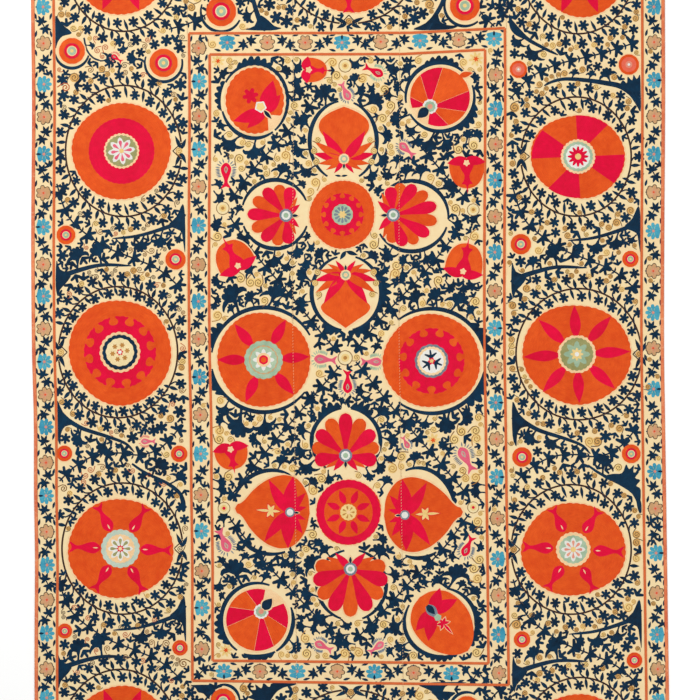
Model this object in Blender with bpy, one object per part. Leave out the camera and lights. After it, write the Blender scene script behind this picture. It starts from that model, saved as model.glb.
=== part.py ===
"""A suzani, a large embroidered cover, lying flat.

It is made of five widths of hand-woven cotton sewn edge to edge, with a narrow silk binding
sewn round the outside. The origin is on the surface it lies on, under the middle of the cover.
X runs across the cover, Y along it and Z up. The long edges lean and wave a little, as in cloth
that was cut and sewn by hand, and the seams between the widths follow them.
"""

import bmesh
import bpy
from mathutils import Vector

# Driving dimensions, in metres
COVER_LENGTH = 2.415
CLOTH_THICKNESS = 0.0016
BINDING_WIDTH = 0.0075
BINDING_THICKNESS = 0.0022
SEWN_GAP = 0.0003
EDGE_ROUNDING = 0.0004
STATION_STEP = 0.1

HALF_LENGTH = COVER_LENGTH / 2

# The two long edges, as (y, x of the left edge, x of the right edge), from the far end to the near one
LONG_EDGES = [
    (1.2075, -0.7970, 0.7862),
    (0.8920, -0.7975, 0.7870),
    (0.6300, -0.7950, 0.7875),
    (0.2800, -0.7970, 0.7855),
    (0.0170, -0.7950, 0.7850),
    (-0.1580, -0.7905, 0.7875),
    (-0.3330, -0.7900, 0.7900),
    (-0.5080, -0.7875, 0.7925),
    (-0.6830, -0.7885, 0.7950),
    (-0.8580, -0.7885, 0.7975),
    (-1.2075, -0.7875, 0.7970),
]

# Where each width of cloth begins and ends, as shares of the way from the left edge to the right one
CLOTH_WIDTHS = [
    ("width_1_left_border", 0.0, 0.2465),
    ("width_2_left_field", 0.2465, 0.413),
    ("width_3_middle_field", 0.413, 0.581),
    ("width_4_right_field", 0.581, 0.75),
    ("width_5_right_border", 0.75, 1.0),
]

COTTON_COLOUR = (0.86, 0.70, 0.42, 1.0)
BINDING_COLOUR = (0.70, 0.20, 0.06, 1.0)


def clear_scene():
    for thing in list(bpy.data.objects):
        bpy.data.objects.remove(thing, do_unlink=True)


def cloth_material(name, colour, roughness):
    material = bpy.data.materials.new(name)
    material.use_nodes = True
    shader = material.node_tree.nodes["Principled BSDF"]
    shader.inputs["Base Color"].default_value = colour
    shader.inputs["Roughness"].default_value = roughness
    shader.inputs["Metallic"].default_value = 0.0
    return material


def smooth_between(before, low, high, after, t):
    """A smooth curve through low at t = 0 and high at t = 1, led by the values on either side."""
    return 0.5 * (
        2 * low
        + (high - before) * t
        + (2 * before - 5 * low + 4 * high - after) * t**2
        + (3 * low - before - 3 * high + after) * t**3
    )


def long_edge_x(y, column):
    """x of a long edge at y. Column 1 of the table is the left edge and column 2 the right one."""
    rows = LONG_EDGES
    y = max(min(y, rows[0][0]), rows[-1][0])
    i = 0
    while i < len(rows) - 2 and y < rows[i + 1][0]:
        i += 1
    t = (rows[i][0] - y) / (rows[i][0] - rows[i + 1][0])
    values = [rows[max(0, min(len(rows) - 1, k))][column] for k in (i - 1, i, i + 1, i + 2)]
    return smooth_between(*values, t)


def across(share, y):
    """x of the point that lies this share of the way from the left edge to the right one."""
    left = long_edge_x(y, 1)
    right = long_edge_x(y, 2)
    return left + share * (right - left)


def stations():
    """Places along the cover from the near end to the far one, as shares of the half length."""
    count = round(COVER_LENGTH / STATION_STEP)
    return [-1 + 2 * i / count for i in range(count + 1)]


def strip(name, rails, thickness, material):
    """A flat strip of cloth between two rows of points, with its upper rim rounded."""
    mesh = bpy.data.meshes.new(name)
    shape = bmesh.new()
    rows = [[shape.verts.new(point) for point in rail] for rail in rails]
    faces = []
    for i in range(len(rows[0]) - 1):
        faces.append(shape.faces.new((rows[0][i], rows[1][i], rows[1][i + 1], rows[0][i + 1])))
    raised = bmesh.ops.extrude_face_region(shape, geom=faces)
    upper = [item for item in raised["geom"] if isinstance(item, bmesh.types.BMVert)]
    bmesh.ops.translate(shape, verts=upper, vec=Vector((0, 0, thickness)))
    bmesh.ops.recalc_face_normals(shape, faces=shape.faces)
    shape.edges.ensure_lookup_table()
    upper_set = set(upper)
    rim = shape.edges.layers.float.new("bevel_weight_edge")
    for edge in shape.edges:
        walls = [face for face in edge.link_faces if abs(face.normal.z) < 0.5]
        if len(walls) == 1 and set(edge.verts) <= upper_set:
            edge[rim] = 1.0
    shape.to_mesh(mesh)
    shape.free()
    mesh.materials.append(material)
    thing = bpy.data.objects.new(name, mesh)
    bpy.context.collection.objects.link(thing)
    rounding = thing.modifiers.new("rounded_rim", "BEVEL")
    rounding.limit_method = "WEIGHT"
    rounding.width = EDGE_ROUNDING
    rounding.segments = 2
    return thing


def rail_along(share, shift, inset):
    """A row of points up the cover, shifted across from this share and drawn in at both ends by inset."""
    rail = []
    for along in stations():
        y = along * (HALF_LENGTH - inset)
        rail.append((across(share, y) + shift, y, 0.0))
    return rail


def width_of_cloth(name, first, last, material):
    """One loom width, which stops short of its neighbours and of the binding by the sewn gap."""
    clear_of_binding = BINDING_WIDTH + SEWN_GAP
    left_inset = clear_of_binding if first == 0.0 else SEWN_GAP / 2
    right_inset = clear_of_binding if last == 1.0 else SEWN_GAP / 2
    rails = [
        rail_along(first, left_inset, clear_of_binding),
        rail_along(last, -right_inset, clear_of_binding),
    ]
    return strip(name, rails, CLOTH_THICKNESS, material)


def side_binding(name, share, inward, material):
    """The binding down one long edge. It runs past the ends of the cloth to the corners."""
    rails = [rail_along(share, 0.0, 0.0), rail_along(share, inward * BINDING_WIDTH, 0.0)]
    return strip(name, rails, BINDING_THICKNESS, material)


def end_binding(name, end, material):
    """The binding across one end, which butts against the two side bindings."""
    rails = []
    for depth in (0.0, BINDING_WIDTH):
        y = end * (HALF_LENGTH - depth)
        low = across(0.0, y) + BINDING_WIDTH + SEWN_GAP
        high = across(1.0, y) - BINDING_WIDTH - SEWN_GAP
        count = round((high - low) / STATION_STEP)
        rails.append([(low + (high - low) * i / count, y, 0.0) for i in range(count + 1)])
    return strip(name, rails, BINDING_THICKNESS, material)


def main():
    clear_scene()
    cotton = cloth_material("embroidered_cotton", COTTON_COLOUR, 0.85)
    silk = cloth_material("silk_binding", BINDING_COLOUR, 0.6)
    for name, first, last in CLOTH_WIDTHS:
        width_of_cloth(name, first, last, cotton)
    side_binding("binding_left", 0.0, 1, silk)
    side_binding("binding_right", 1.0, -1, silk)
    end_binding("binding_far_end", 1, silk)
    end_binding("binding_near_end", -1, silk)


main()
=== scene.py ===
"""The looks of the embroidered cover: its cotton widths, its binding, and every motif sewn on it.

All drawing here is in millimetres, flat on the cover, with the origin under its middle, X to the
right and Y towards the far end. Angles are in degrees, anticlockwise from X.
"""

import math
import random

import bpy
import numpy as np
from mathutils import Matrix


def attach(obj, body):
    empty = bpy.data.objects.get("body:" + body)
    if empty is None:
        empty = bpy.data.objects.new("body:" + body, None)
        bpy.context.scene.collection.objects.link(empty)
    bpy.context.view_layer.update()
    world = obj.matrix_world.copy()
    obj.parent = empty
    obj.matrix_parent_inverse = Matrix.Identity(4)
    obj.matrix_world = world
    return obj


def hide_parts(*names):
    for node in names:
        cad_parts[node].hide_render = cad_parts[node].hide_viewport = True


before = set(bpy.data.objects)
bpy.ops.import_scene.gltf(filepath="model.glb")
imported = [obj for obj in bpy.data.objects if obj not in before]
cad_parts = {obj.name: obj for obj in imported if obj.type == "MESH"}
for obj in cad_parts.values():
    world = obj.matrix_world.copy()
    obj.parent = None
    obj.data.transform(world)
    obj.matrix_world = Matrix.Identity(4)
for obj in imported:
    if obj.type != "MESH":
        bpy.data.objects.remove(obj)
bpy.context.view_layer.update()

METRES = 0.001

# The cover
COVER_LENGTH = 2415.0
CLOTH_THICKNESS = 1.6
BINDING_WIDTH = 7.5
SEAM_DIP = 0.7
SEAM_REACH = 5.0

# The two long edges, as (y, x of the left edge, x of the right edge), as they are in the CAD part
LONG_EDGES = [
    (1207.5, -797.0, 786.2),
    (892.0, -797.5, 787.0),
    (630.0, -795.0, 787.5),
    (280.0, -797.0, 785.5),
    (17.0, -795.0, 785.0),
    (-158.0, -790.5, 787.5),
    (-333.0, -790.0, 790.0),
    (-508.0, -787.5, 792.5),
    (-683.0, -788.5, 795.0),
    (-858.0, -788.5, 797.5),
    (-1207.5, -787.5, 797.0),
]
EDGE_Y = np.array([row[0] for row in LONG_EDGES])
EDGE_X = {side: np.array([row[side] for row in LONG_EDGES]) for side in (1, 2)}

CLOTH_WIDTHS = [
    ("width_1_left_border", 0.0, 0.2465),
    ("width_2_left_field", 0.2465, 0.413),
    ("width_3_middle_field", 0.413, 0.581),
    ("width_4_right_field", 0.581, 0.75),
    ("width_5_right_border", 0.75, 1.0),
]
SEAMS = [last for name, first, last in CLOTH_WIDTHS[:-1]]

# How the widths meet, and how closely their sheets follow the cloth
SEAM_GAP = 0.2
MIDDLE_WIDTH = 1582.0
COLUMN_SPACING = 11.0
CLOTH_STEPS = 190

# How the silk lies on the cloth
LAYER_STEP = 0.25
SILK_HEIGHT = 0.4
SILK_SINK = 0.1
RIM = 0.5
STITCH_SPACING = 7.5


# The cover's shape


def edge_x(y, side):
    """x of a long edge at y, on the smooth curve through the table. Side 1 is left and 2 right."""
    y = np.clip(np.asarray(y, float), EDGE_Y[-1], EDGE_Y[0])
    last = len(EDGE_Y) - 1
    i = np.clip(np.searchsorted(-EDGE_Y, -y, side="right") - 1, 0, last - 1)
    t = (EDGE_Y[i] - y) / (EDGE_Y[i] - EDGE_Y[i + 1])
    values = EDGE_X[side]
    return cubic(*(values[np.clip(i + k, 0, last)] for k in (-1, 0, 1, 2)), t)


def cubic(before, low, high, after, t):
    """The point at this share of the way from low to high, on a smooth curve through all four."""
    square = (2 * before - 5 * low + 4 * high - after) * t**2
    cube = (3 * low - before - 3 * high + after) * t**3
    return 0.5 * (2 * low + (high - before) * t + square + cube)


def across(share, y):
    """x of the point that lies this share of the way from the left edge to the right one."""
    left = edge_x(y, 1)
    return left + share * (edge_x(y, 2) - left)


def slack(x, y):
    """How far the top of the cloth rises over its flat thickness, in long low waves."""
    long_waves = np.sin(x / 97 + 1.3 * np.sin(y / 260)) + np.sin(y / 143 + np.sin(x / 310))
    ripples = np.sin(x / 31 + np.sin(y / 77)) * np.sin(y / 43 + np.sin(x / 59))
    return 0.35 + 0.1 * long_waves + 0.12 * ripples


def cloth_top(x, y):
    """Height of the top of the cloth."""
    return CLOTH_THICKNESS + slack(x, y)


# Outlines, drawn with their root at the origin and pointing along X

# Each is (share of the length, share of half the width), from the root to the tip
PROFILES = {
    "leaf": [(0, 0.12), (0.2, 0.75), (0.42, 1), (0.7, 0.7), (1, 0)],
    "almond": [(0, 0.4), (0.2, 0.86), (0.42, 1), (0.7, 0.68), (1, 0)],
    "club": [(0, 0.1), (0.35, 0.5), (0.65, 0.93), (0.82, 1), (0.95, 0.66), (1, 0)],
    "pod": [
        (-0.36, 0), (-0.3, 0.5), (-0.12, 0.88), (0.1, 1), (0.32, 0.94), (0.52, 0.77), (0.7, 0.52),
        (0.82, 0.28), (0.9, 0.16), (0.96, 0.12), (1, 0),
    ],
    "egg": [
        (-0.36, 0), (-0.3, 0.44), (-0.12, 0.84), (0.16, 1), (0.48, 0.95), (0.76, 0.68), (0.93, 0.34),
        (1, 0),
    ],
    "fish": [
        (0, 0), (0.05, 0.5), (0.2, 1), (0.4, 0.86), (0.6, 0.44), (0.76, 0.34), (0.88, 0.72), (1, 1),
        (0.94, 0.4), (0.91, 0),
    ],
    "key": [(0, 0.66), (0.25, 0.6), (0.5, 0.94), (0.72, 1), (0.92, 0.68), (1, 0)],
    "dome": [
        (0, 0.1), (0.25, 0.42), (0.45, 0.84), (0.6, 1), (0.75, 0.92), (0.87, 0.62), (0.95, 0.28),
        (1, 0),
    ],
    "shield": [
        (0, 0.1), (0.28, 0.36), (0.4, 0.54), (0.5, 0.84), (0.6, 1), (0.72, 0.86), (0.86, 0.42), (1, 0),
    ],
    "bell": [
        (-0.05, 0), (-0.03, 0.5), (0.05, 0.93), (0.22, 1), (0.5, 0.94), (0.75, 0.76), (0.93, 0.44),
        (1, 0),
    ],
    "flame": [
        (0, 0.5), (0.08, 1), (0.26, 0.8), (0.45, 0.36), (0.6, 0.42), (0.71, 0.72), (0.75, 0.2), (1, 0),
    ],
}


def smooth(points, fine):
    """A curve through the points, with this many steps between one and the next."""
    points = np.asarray(points, float)
    padded = np.vstack([2 * points[0] - points[1], points, 2 * points[-1] - points[-2]])
    return np.vstack([steps_between(padded, fine), points[-1]])


def closed_smooth(points, fine):
    """A closed curve through the points."""
    points = np.asarray(points, float)
    return steps_between(np.vstack([points[-1], points, points[0], points[1]]), fine)


def steps_between(padded, fine):
    """Points on the curve from the second of these points to the last but one."""
    fours = padded[:-3], padded[1:-2], padded[2:-1], padded[3:]
    return np.stack([cubic(*fours, t) for t in np.arange(fine) / fine], axis=1).reshape(-1, 2)


def shape(profile, length, width, fine=2):
    """An outline with the same profile on both sides of its midline."""
    side = smooth(np.array(PROFILES[profile]) * (length, width / 2), fine)
    side[:, 1] = np.maximum(side[:, 1], 0)
    upper = side[::-1]
    upper = upper[upper[:, 1] > 1e-6]
    return np.vstack([side * (1, -1), upper])


def polar(angle, radius):
    """The point at this distance from the origin in this direction."""
    turn = math.radians(angle)
    return np.array([radius * math.cos(turn), radius * math.sin(turn)])


def star(radius, lobes, valley=0.5, broad=0.22):
    """A floret seen from above, with blunt lobes."""
    gap = 360 / lobes
    rows = []
    for i in range(lobes):
        for turn, share in ((-broad, 0.88), (0, 1), (broad, 0.88), (0.5, valley)):
            rows.append(polar((i + turn) * gap, radius * share))
    return np.array(rows)


def scalloped(half_width, half_height, lobes, depth, points=4):
    """A round outline whose rim is a row of small bulges."""
    angle = np.arange(lobes * points) * (2 * math.pi / (lobes * points))
    reach = 1 - depth * (1 - np.abs(np.sin(lobes * angle / 2)))
    return np.stack([half_width * reach * np.cos(angle), half_height * reach * np.sin(angle)], 1)


# The end of one finger, as (share of its half width, share of its reach)
ROUND_TIP = [(-1, 0.9), (-0.55, 0.98), (0, 1), (0.55, 0.98), (1, 0.9)]
SOFT_TIP = [(-1, 0.8), (-0.5, 0.97), (0.5, 0.97), (1, 0.8)]

# One side of a palmette, from its root to the middle of its front, as (share of its length, share
# of its length to the side). The outer finger curls back towards the root.
PALMETTE_SIDES = {
    "wide": [
        (0, 0.06), (0.24, 0.05), (0.42, 0.1), (0.5, 0.24), (0.46, 0.42), (0.36, 0.54), (0.45, 0.57),
        (0.58, 0.5), (0.66, 0.39), (0.66, 0.33), (0.77, 0.37), (0.85, 0.33), (0.88, 0.25), (0.84, 0.18),
        (0.93, 0.18), (0.98, 0.12), (0.98, 0.05), (0.93, 0),
    ],
    "narrow": [
        (0, 0.08), (0.24, 0.07), (0.42, 0.14), (0.48, 0.28), (0.4, 0.44), (0.5, 0.48), (0.64, 0.42),
        (0.72, 0.3), (0.7, 0.24), (0.84, 0.27), (0.91, 0.2), (0.88, 0.1), (0.97, 0.07), (1, 0),
    ],
}


def fan(size, kind, bend):
    """A palmette: a narrow neck that bends to one side, curled outer fingers and short ones in front."""
    side = np.array(PALMETTE_SIDES[kind][:-1])
    outline = np.vstack([side * (1, -1), PALMETTE_SIDES[kind][-1:], side[::-1]]) * size
    return bent(outline, size, bend)


def bent(outline, length, bend):
    """The outline with its neck bent, so that its head stands to one side of where its root points."""
    along_it = outline[:, 0] / length
    moved = outline.copy()
    moved[:, 1] += bend * length * ((1 - along_it) ** 2 - 1)
    return moved


def curved(outline, length, bend):
    """The outline with its tip curving to one side. Its root keeps its direction."""
    moved = outline.copy()
    moved[:, 1] += bend * outline[:, 0] ** 2 / length
    return moved


def fingers_round(count, spread, reach, valley, broad, tip):
    """The fingers of a leaf about its middle, from the right side to the left one."""
    gap = spread / (count - 1)
    rows = []
    for i in range(count):
        turn = -spread / 2 + gap * i
        rows += [polar(turn + side * broad * gap, reach * share) for side, share in tip]
        if i < count - 1:
            rows.append(polar(turn + gap / 2, reach * valley))
    return rows


def hand_leaf(size, fingers, spread=150.0, valley=0.32, broad=0.15, pivot=0.24, tip=SOFT_TIP, root=0.15):
    """A small leaf of several fingers that spread from the end of its stalk."""
    ring = fingers_round(fingers, spread, size * (1 - pivot), valley, broad, tip)
    neck = [(0.0, root * size / 2), (0.0, -root * size / 2)]
    return np.vstack([np.array(ring) + (pivot * size, 0), neck])


def comb(path, depth, teeth):
    """A leaf that hugs a curve, with a row of leaning teeth on its left side."""
    curve = along(path, 4 * teeth + 1)
    ahead = np.gradient(curve, axis=0)
    ahead /= np.linalg.norm(ahead, axis=1)[:, None]
    outward = np.stack([-ahead[:, 1], ahead[:, 0]], 1)
    share = np.linspace(0, 1, len(curve))
    swell = np.sin(np.pi * (0.08 + 0.84 * share)) ** 0.7
    tooth = np.array([0.5, 0.86, 1.0, 0.88])[np.arange(len(curve)) % 4]
    rim = curve + outward * (depth * swell * tooth)[:, None] + ahead * (0.25 * depth * tooth)[:, None]
    return np.vstack([curve[::-1], rim])


def along(path, count):
    """The path again, as this many evenly spaced points."""
    path = np.asarray(path, float)
    walked = walked_along(path)
    wanted = np.linspace(0, walked[-1], count)
    return np.stack([np.interp(wanted, walked, path[:, k]) for k in (0, 1)], 1)


def walked_along(path):
    """How far along the path each of its points is."""
    return np.concatenate([[0], np.cumsum(np.linalg.norm(np.diff(path, axis=0), axis=1))])


def placed(outline, at, turn=0.0):
    """The outline, turned and moved to its place."""
    angle = math.radians(turn)
    spin = np.array([[math.cos(angle), math.sin(angle)], [-math.sin(angle), math.cos(angle)]])
    return np.asarray(outline) @ spin + np.asarray(at)


def arc(centre, radii, first, last, step=6.0):
    """Points on an ellipse, from one angle to another."""
    count = max(3, int(abs(last - first) / step) + 1)
    angles = np.radians(np.linspace(first, last, count))
    x = centre[0] + radii[0] * np.cos(angles)
    y = centre[1] + radii[1] * np.sin(angles)
    return np.stack([x, y], 1)


def inset(outline, distance):
    """The outline drawn in by a distance. At a sharp point it is drawn in by less."""
    behind = outline - np.roll(outline, 1, axis=0)
    ahead = np.roll(outline, -1, axis=0) - outline
    normals = []
    for edge in (behind, ahead):
        long = np.maximum(np.linalg.norm(edge, axis=1), 1e-9)[:, None]
        normals.append(np.stack([-edge[:, 1], edge[:, 0]], 1) / long)
    inward = normals[0] + normals[1]
    inward /= np.maximum(np.linalg.norm(inward, axis=1), 0.35)[:, None]
    reach = distance / np.clip((inward * normals[0]).sum(axis=1), 0.5, 1)
    return outline + inward * reach[:, None]


def signed_area(outline):
    """The area inside an outline, which is negative if the outline runs clockwise."""
    x, y = outline[:, 0], outline[:, 1]
    return 0.5 * float((x * np.roll(y, -1) - y * np.roll(x, -1)).sum())


# Where silk has been sewn, so that the last small leaves and curls find the bare ground


class Ground:
    """A map of the cover in small squares, which says which of them are covered."""

    WIDTH = 1620
    LENGTH = 2440
    CELL = 2.5
    MOST_COVERED = 0.09

    def __init__(self):
        self.columns = int(self.WIDTH / self.CELL)
        self.rows = int(self.LENGTH / self.CELL)
        self.covered = np.zeros((self.rows, self.columns), bool)

    def cell(self, points):
        """Row and column of the square that each point lies in."""
        points = np.asarray(points)
        column = (points[..., 0] / self.CELL + self.columns / 2).astype(int)
        row = (points[..., 1] / self.CELL + self.rows / 2).astype(int)
        return np.clip(row, 0, self.rows - 1), np.clip(column, 0, self.columns - 1)

    def middle(self, row, column):
        """Place of the middle of a square."""
        x = (column + 0.5 - self.columns / 2) * self.CELL
        y = (row + 0.5 - self.rows / 2) * self.CELL
        return x, y

    def cover(self, outline):
        """Marks the squares inside an outline and those that it crosses."""
        self.covered[self.cell(outline)] = True
        self.covered[self.cell((outline + np.roll(outline, 1, axis=0)) / 2)] = True
        low = self.cell(outline.min(axis=0))
        high = self.cell(outline.max(axis=0))
        row, column = np.mgrid[low[0] : high[0] + 1, low[1] : high[1] + 1]
        x, y = self.middle(row, column)
        inside = np.zeros(x.shape, bool)
        for (x1, y1), (x2, y2) in zip(outline, np.roll(outline, -1, axis=0)):
            if y1 != y2:
                crosses = (y1 > y) != (y2 > y)
                inside ^= crosses & (x < (x2 - x1) * (y - y1) / (y2 - y1) + x1)
        self.covered[low[0] : high[0] + 1, low[1] : high[1] + 1] |= inside

    def is_bare(self, outline):
        """Whether most of the points of an outline still lie on bare cloth."""
        return self.covered[self.cell(outline)].mean() < self.MOST_COVERED

    def room(self, most):
        """For each square, how many squares away the nearest covered one is, up to most."""
        bare = ~self.covered
        room = bare.astype(int)
        for ring in range(1, most):
            grown = bare.copy()
            grown[1:] &= bare[:-1]
            grown[:-1] &= bare[1:]
            beside = grown.copy() if ring % 2 else bare
            grown[:, 1:] &= beside[:, :-1]
            grown[:, :-1] &= beside[:, 1:]
            bare = grown
            room += bare
        return room


ground = Ground()


# Stitching


class Stitches:
    """All the silk of one colour in one part of the cover, gathered to become one mesh."""

    def __init__(self, name, colour):
        self.name = name
        self.colour = colour
        self.points = []
        self.faces = []
        self.strands = []
        self.shades = []
        self.count = 0
        self.patches = 0

    def heights(self, layer):
        """The foot and the top of the next patch. Tops differ a little, so that none share a plane."""
        self.patches += 1
        uneven = 0.09 * (self.patches * 0.618 % 1)
        foot = layer * LAYER_STEP - SILK_SINK
        return foot, layer * LAYER_STEP + SILK_HEIGHT + uneven

    def add(self, flat, height, faces, strands, shade):
        """Points on the cloth with their heights over it, and the direction of the strands."""
        top = cloth_top(flat[:, 0], flat[:, 1]) + height
        self.points.append(np.column_stack([flat, top]))
        self.faces.extend(tuple(i + self.count for i in face) for face in faces)
        self.strands.append(strands)
        self.shades.append(np.full(len(flat), shade))
        self.count += len(flat)

    def rings(self, flat, count, layer, strands, shade):
        """A closed patch of rings of this many points. The first is its foot, and the rest its top."""
        if layer == 0:
            ground.cover(flat[:count])
        foot, top = self.heights(layer)
        last = len(flat) - count
        height = np.repeat([foot, top], [count, last])
        faces = []
        for low in range(0, last, count):
            for i in range(count):
                j = (i + 1) % count
                faces.append((low + i, low + j, low + count + j, low + count + i))
        faces.append(tuple(range(last, last + count)))
        faces.append(tuple(range(count - 1, -1, -1)))
        self.add(flat, height, faces, strands, shade)

    def patch(self, outline, layer, along_angle, shade):
        """A flat motif, with a sloping rim."""
        outer = np.asarray(outline, float)
        if signed_area(outer) < 0:
            outer = outer[::-1]
        flat = np.vstack([outer, inset(outer, RIM)])
        self.rings(flat, len(outer), layer, turned_back(flat, along_angle), shade)

    def disc(self, outline, layer, rings, shade):
        """A large motif in rings round its middle, so that it follows the cloth below it."""
        outer = np.asarray(outline, float)
        middle = outer.mean(axis=0)
        reach = np.linalg.norm(outer - middle, axis=1).mean()
        shares = [1.0, *np.linspace(1 - RIM / reach, 0.08, rings + 1)]
        flat = np.vstack([middle + (outer - middle) * share for share in shares])
        offset = flat - middle
        turn = np.arctan2(offset[:, 1], offset[:, 0])
        strands = np.stack([turn * reach * 0.6, np.linalg.norm(offset, axis=1)], 1)
        self.rings(flat, len(outer), layer, strands, shade)

    def ribbon(self, path, width, layer, shade, cover=True):
        """A line of stitches along a path. The width may be one number or one for each point."""
        path = np.asarray(path, float)
        count = len(path)
        ahead = np.gradient(path, axis=0)
        ahead /= np.maximum(np.linalg.norm(ahead, axis=1), 1e-9)[:, None]
        side = np.stack([-ahead[:, 1], ahead[:, 0]], 1) * np.broadcast_to(width, count)[:, None]
        if cover and layer == 0:
            for i in range(count - 1):
                left = path[i : i + 2] - side[i : i + 2] / 2
                right = path[i : i + 2] + side[i : i + 2] / 2
                ground.cover(np.vstack([left, right[::-1]]))
        foot, top = self.heights(layer)
        rows = [(-0.5, foot), (-0.28, top), (0.28, top), (0.5, foot)]
        flat = np.vstack([path + side * share for share, level in rows])
        height = np.concatenate([np.full(count, level) for share, level in rows])
        faces = tube_faces(4, count)
        walked = walked_along(path)
        strands = np.vstack([np.stack([walked, np.full(count, share * 3.0)], 1) for share, level in rows])
        self.add(flat, height, faces, strands, shade)

    def build(self, material):
        """One mesh of all that was sewn in this colour."""
        piece = new_piece(self.name, np.vstack(self.points), self.faces, material)
        lay_strands(piece.data, np.vstack(self.strands))
        shade = piece.data.attributes.new("shade", "FLOAT", "POINT")
        shade.data.foreach_set("value", np.concatenate(self.shades))
        piece.data.validate()


def tube_faces(sides, steps):
    """The faces of a closed tube, from the points along its first side, its second and so on."""
    faces = []
    for i in range(steps - 1):
        for k in range(sides):
            m = (k + 1) % sides
            faces.append((m * steps + i, k * steps + i, k * steps + i + 1, m * steps + i + 1))
    faces.append(tuple(k * steps for k in range(sides)))
    faces.append(tuple(k * steps + steps - 1 for k in range(sides - 1, -1, -1)))
    return faces


def new_piece(name, points, faces, material):
    """A piece of the cover, from points in millimetres."""
    mesh = bpy.data.meshes.new(name)
    mesh.from_pydata((points * METRES).tolist(), [], faces)
    mesh.materials.append(material)
    piece = bpy.data.objects.new(name, mesh)
    bpy.context.collection.objects.link(piece)
    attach(piece, "root")
    return piece


def lay_strands(mesh, strands):
    """Gives a mesh the map that its strands follow, from a pair of millimetres for each point."""
    corners = np.empty(len(mesh.loops), int)
    mesh.loops.foreach_get("vertex_index", corners)
    layer = mesh.uv_layers.new(name="strands")
    layer.data.foreach_set("uv", (strands * METRES)[corners].ravel())


def turned_back(points, angle):
    """The points with the direction of the strands turned to lie along the first axis."""
    turn = math.radians(angle)
    u = points[:, 0] * math.cos(turn) + points[:, 1] * math.sin(turn)
    v = -points[:, 0] * math.sin(turn) + points[:, 1] * math.cos(turn)
    return np.stack([u, v], 1)


sewn = {}
hand = random.Random(1870)

FIELD_LEFT = -405.0
FIELD_RIGHT = 392.0
BAND_NEAR_END = 812.0


def region_of(at):
    """The part of the cover that a place lies in."""
    x, y = at
    if y > BAND_NEAR_END:
        return "far_band"
    if y < -BAND_NEAR_END:
        return "near_band"
    if x < FIELD_LEFT:
        return "left_border"
    if x > FIELD_RIGHT:
        return "right_border"
    return "field"


def silk(colour, at):
    """The stitches of a colour in the part of the cover where a motif stands."""
    name = f"{colour}_silk_{region_of(at)}"
    if name not in sewn:
        sewn[name] = Stitches(name, colour)
    return sewn[name]


def uneven(low=0.3, high=0.8):
    """A shade of the dye, as no two threads take it alike."""
    return hand.uniform(low, high)


def sew(colour, outline, at, turn=0.0, layer=0):
    """One motif in one colour, with a dye shade of its own."""
    silk(colour, at).patch(placed(outline, at, turn), layer, turn, uneven())


def sew_round(colour, at, reach, lobes, layer, rings=1, depth=0.02, turn=0.0):
    """A round motif with a scalloped rim."""
    silk(colour, at).disc(placed(scalloped(reach, reach, lobes, depth), at, turn), layer, rings, uneven())


def sew_line(colour, path, width, layer=0, shade=None):
    """A line of stitches in one colour."""
    if shade is None:
        shade = uneven(0.4, 0.6)
    silk(colour, path[len(path) // 2]).ribbon(path, width, layer, shade)


def sew_each(make, rows):
    """One motif for each row of a table whose first two columns are its place."""
    for x, y, *rest in rows:
        make(np.array([x, y], float), *rest)


# Small motifs


def floret(at, radius):
    """A dark flower of six lobes."""
    sew("navy", star(radius * hand.uniform(0.98, 1.12), 6, 0.5, 0.27), at, hand.uniform(0, 60))


def small_leaf(root, turn, length, width, colour="navy"):
    """A pointed leaf."""
    sew(colour, shape("leaf", length, width, 1 if length < 20 else 2), root, turn)


def trefoil(root, turn, size):
    """A dark leaf of three fingers."""
    sew("navy", hand_leaf(size, 3, 128, 0.4, 0.23), root, turn)


def palmette(root, turn, size, bend):
    """A dark palmette. A small one has fewer fingers."""
    kind = "wide" if size > 34 else "narrow"
    sew("navy", fan(size, kind, bend), root, turn)


def palmette_in_room(root, turn, sizes, bends=(0.3, -0.3, 0.0)):
    """The largest of these palmettes that still finds bare cloth, with a curl beside its neck."""
    for size in sizes:
        for bend in bends:
            outline = placed(fan(size * 1.07, "wide", bend), root, turn)
            if ground.is_bare(outline[2:-2]):
                palmette(root, turn, size, bend)
                side = 1 if bend > 0 else -1
                curl_in_room(root + polar(turn + side * 50, size * 0.42), size * 0.2)
                return


def curl_in_room(at, radius):
    """A curl, if the cloth is still bare there."""
    if ground.is_bare(placed(scalloped(radius * 0.85, radius * 0.85, 8, 0), at)):
        curl(at, radius)


def curl(at, radius, turn=None, layer=0):
    """A small coil of thread with a tail. Many lie on a gold pad, but few do in the left border."""
    turn = hand.uniform(0, 360) if turn is None else turn
    on_pad = region_of(at) != "left_border" or hand.random() < 0.4
    pad = "gold" if region_of(at) == "field" or hand.random() < 0.3 else "honey"
    if on_pad:
        sew(pad, scalloped(radius, radius, 10, 0.0, 1), at, turn, layer)
    angles = np.linspace(0, 3.4 * math.pi, 15 if radius > 7 else 12)
    reach = radius * (0.1 + 0.84 * angles / angles[-1])
    coil = np.stack([reach * np.cos(angles), reach * np.sin(angles)], 1)
    tail = np.array([(radius * 0.45, -radius * 1.05), (radius * 1.25, -radius * 1.1)])
    line = placed(np.vstack([coil, tail]) * (1, 1 if hand.random() < 0.5 else -1), at, turn)
    if on_pad:
        coil_colour = hand.choice(("ochre", "bronze")) if pad == "gold" else "umber"
    else:
        coil_colour = hand.choice(("bronze", "rust", "umber"))
    width = max(1.7, radius * 0.2) if on_pad else max(2.2, radius * 0.26)
    silk(coil_colour, at).ribbon(line, width, layer + on_pad, uneven(0.1, 0.5), layer == 0)


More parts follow.
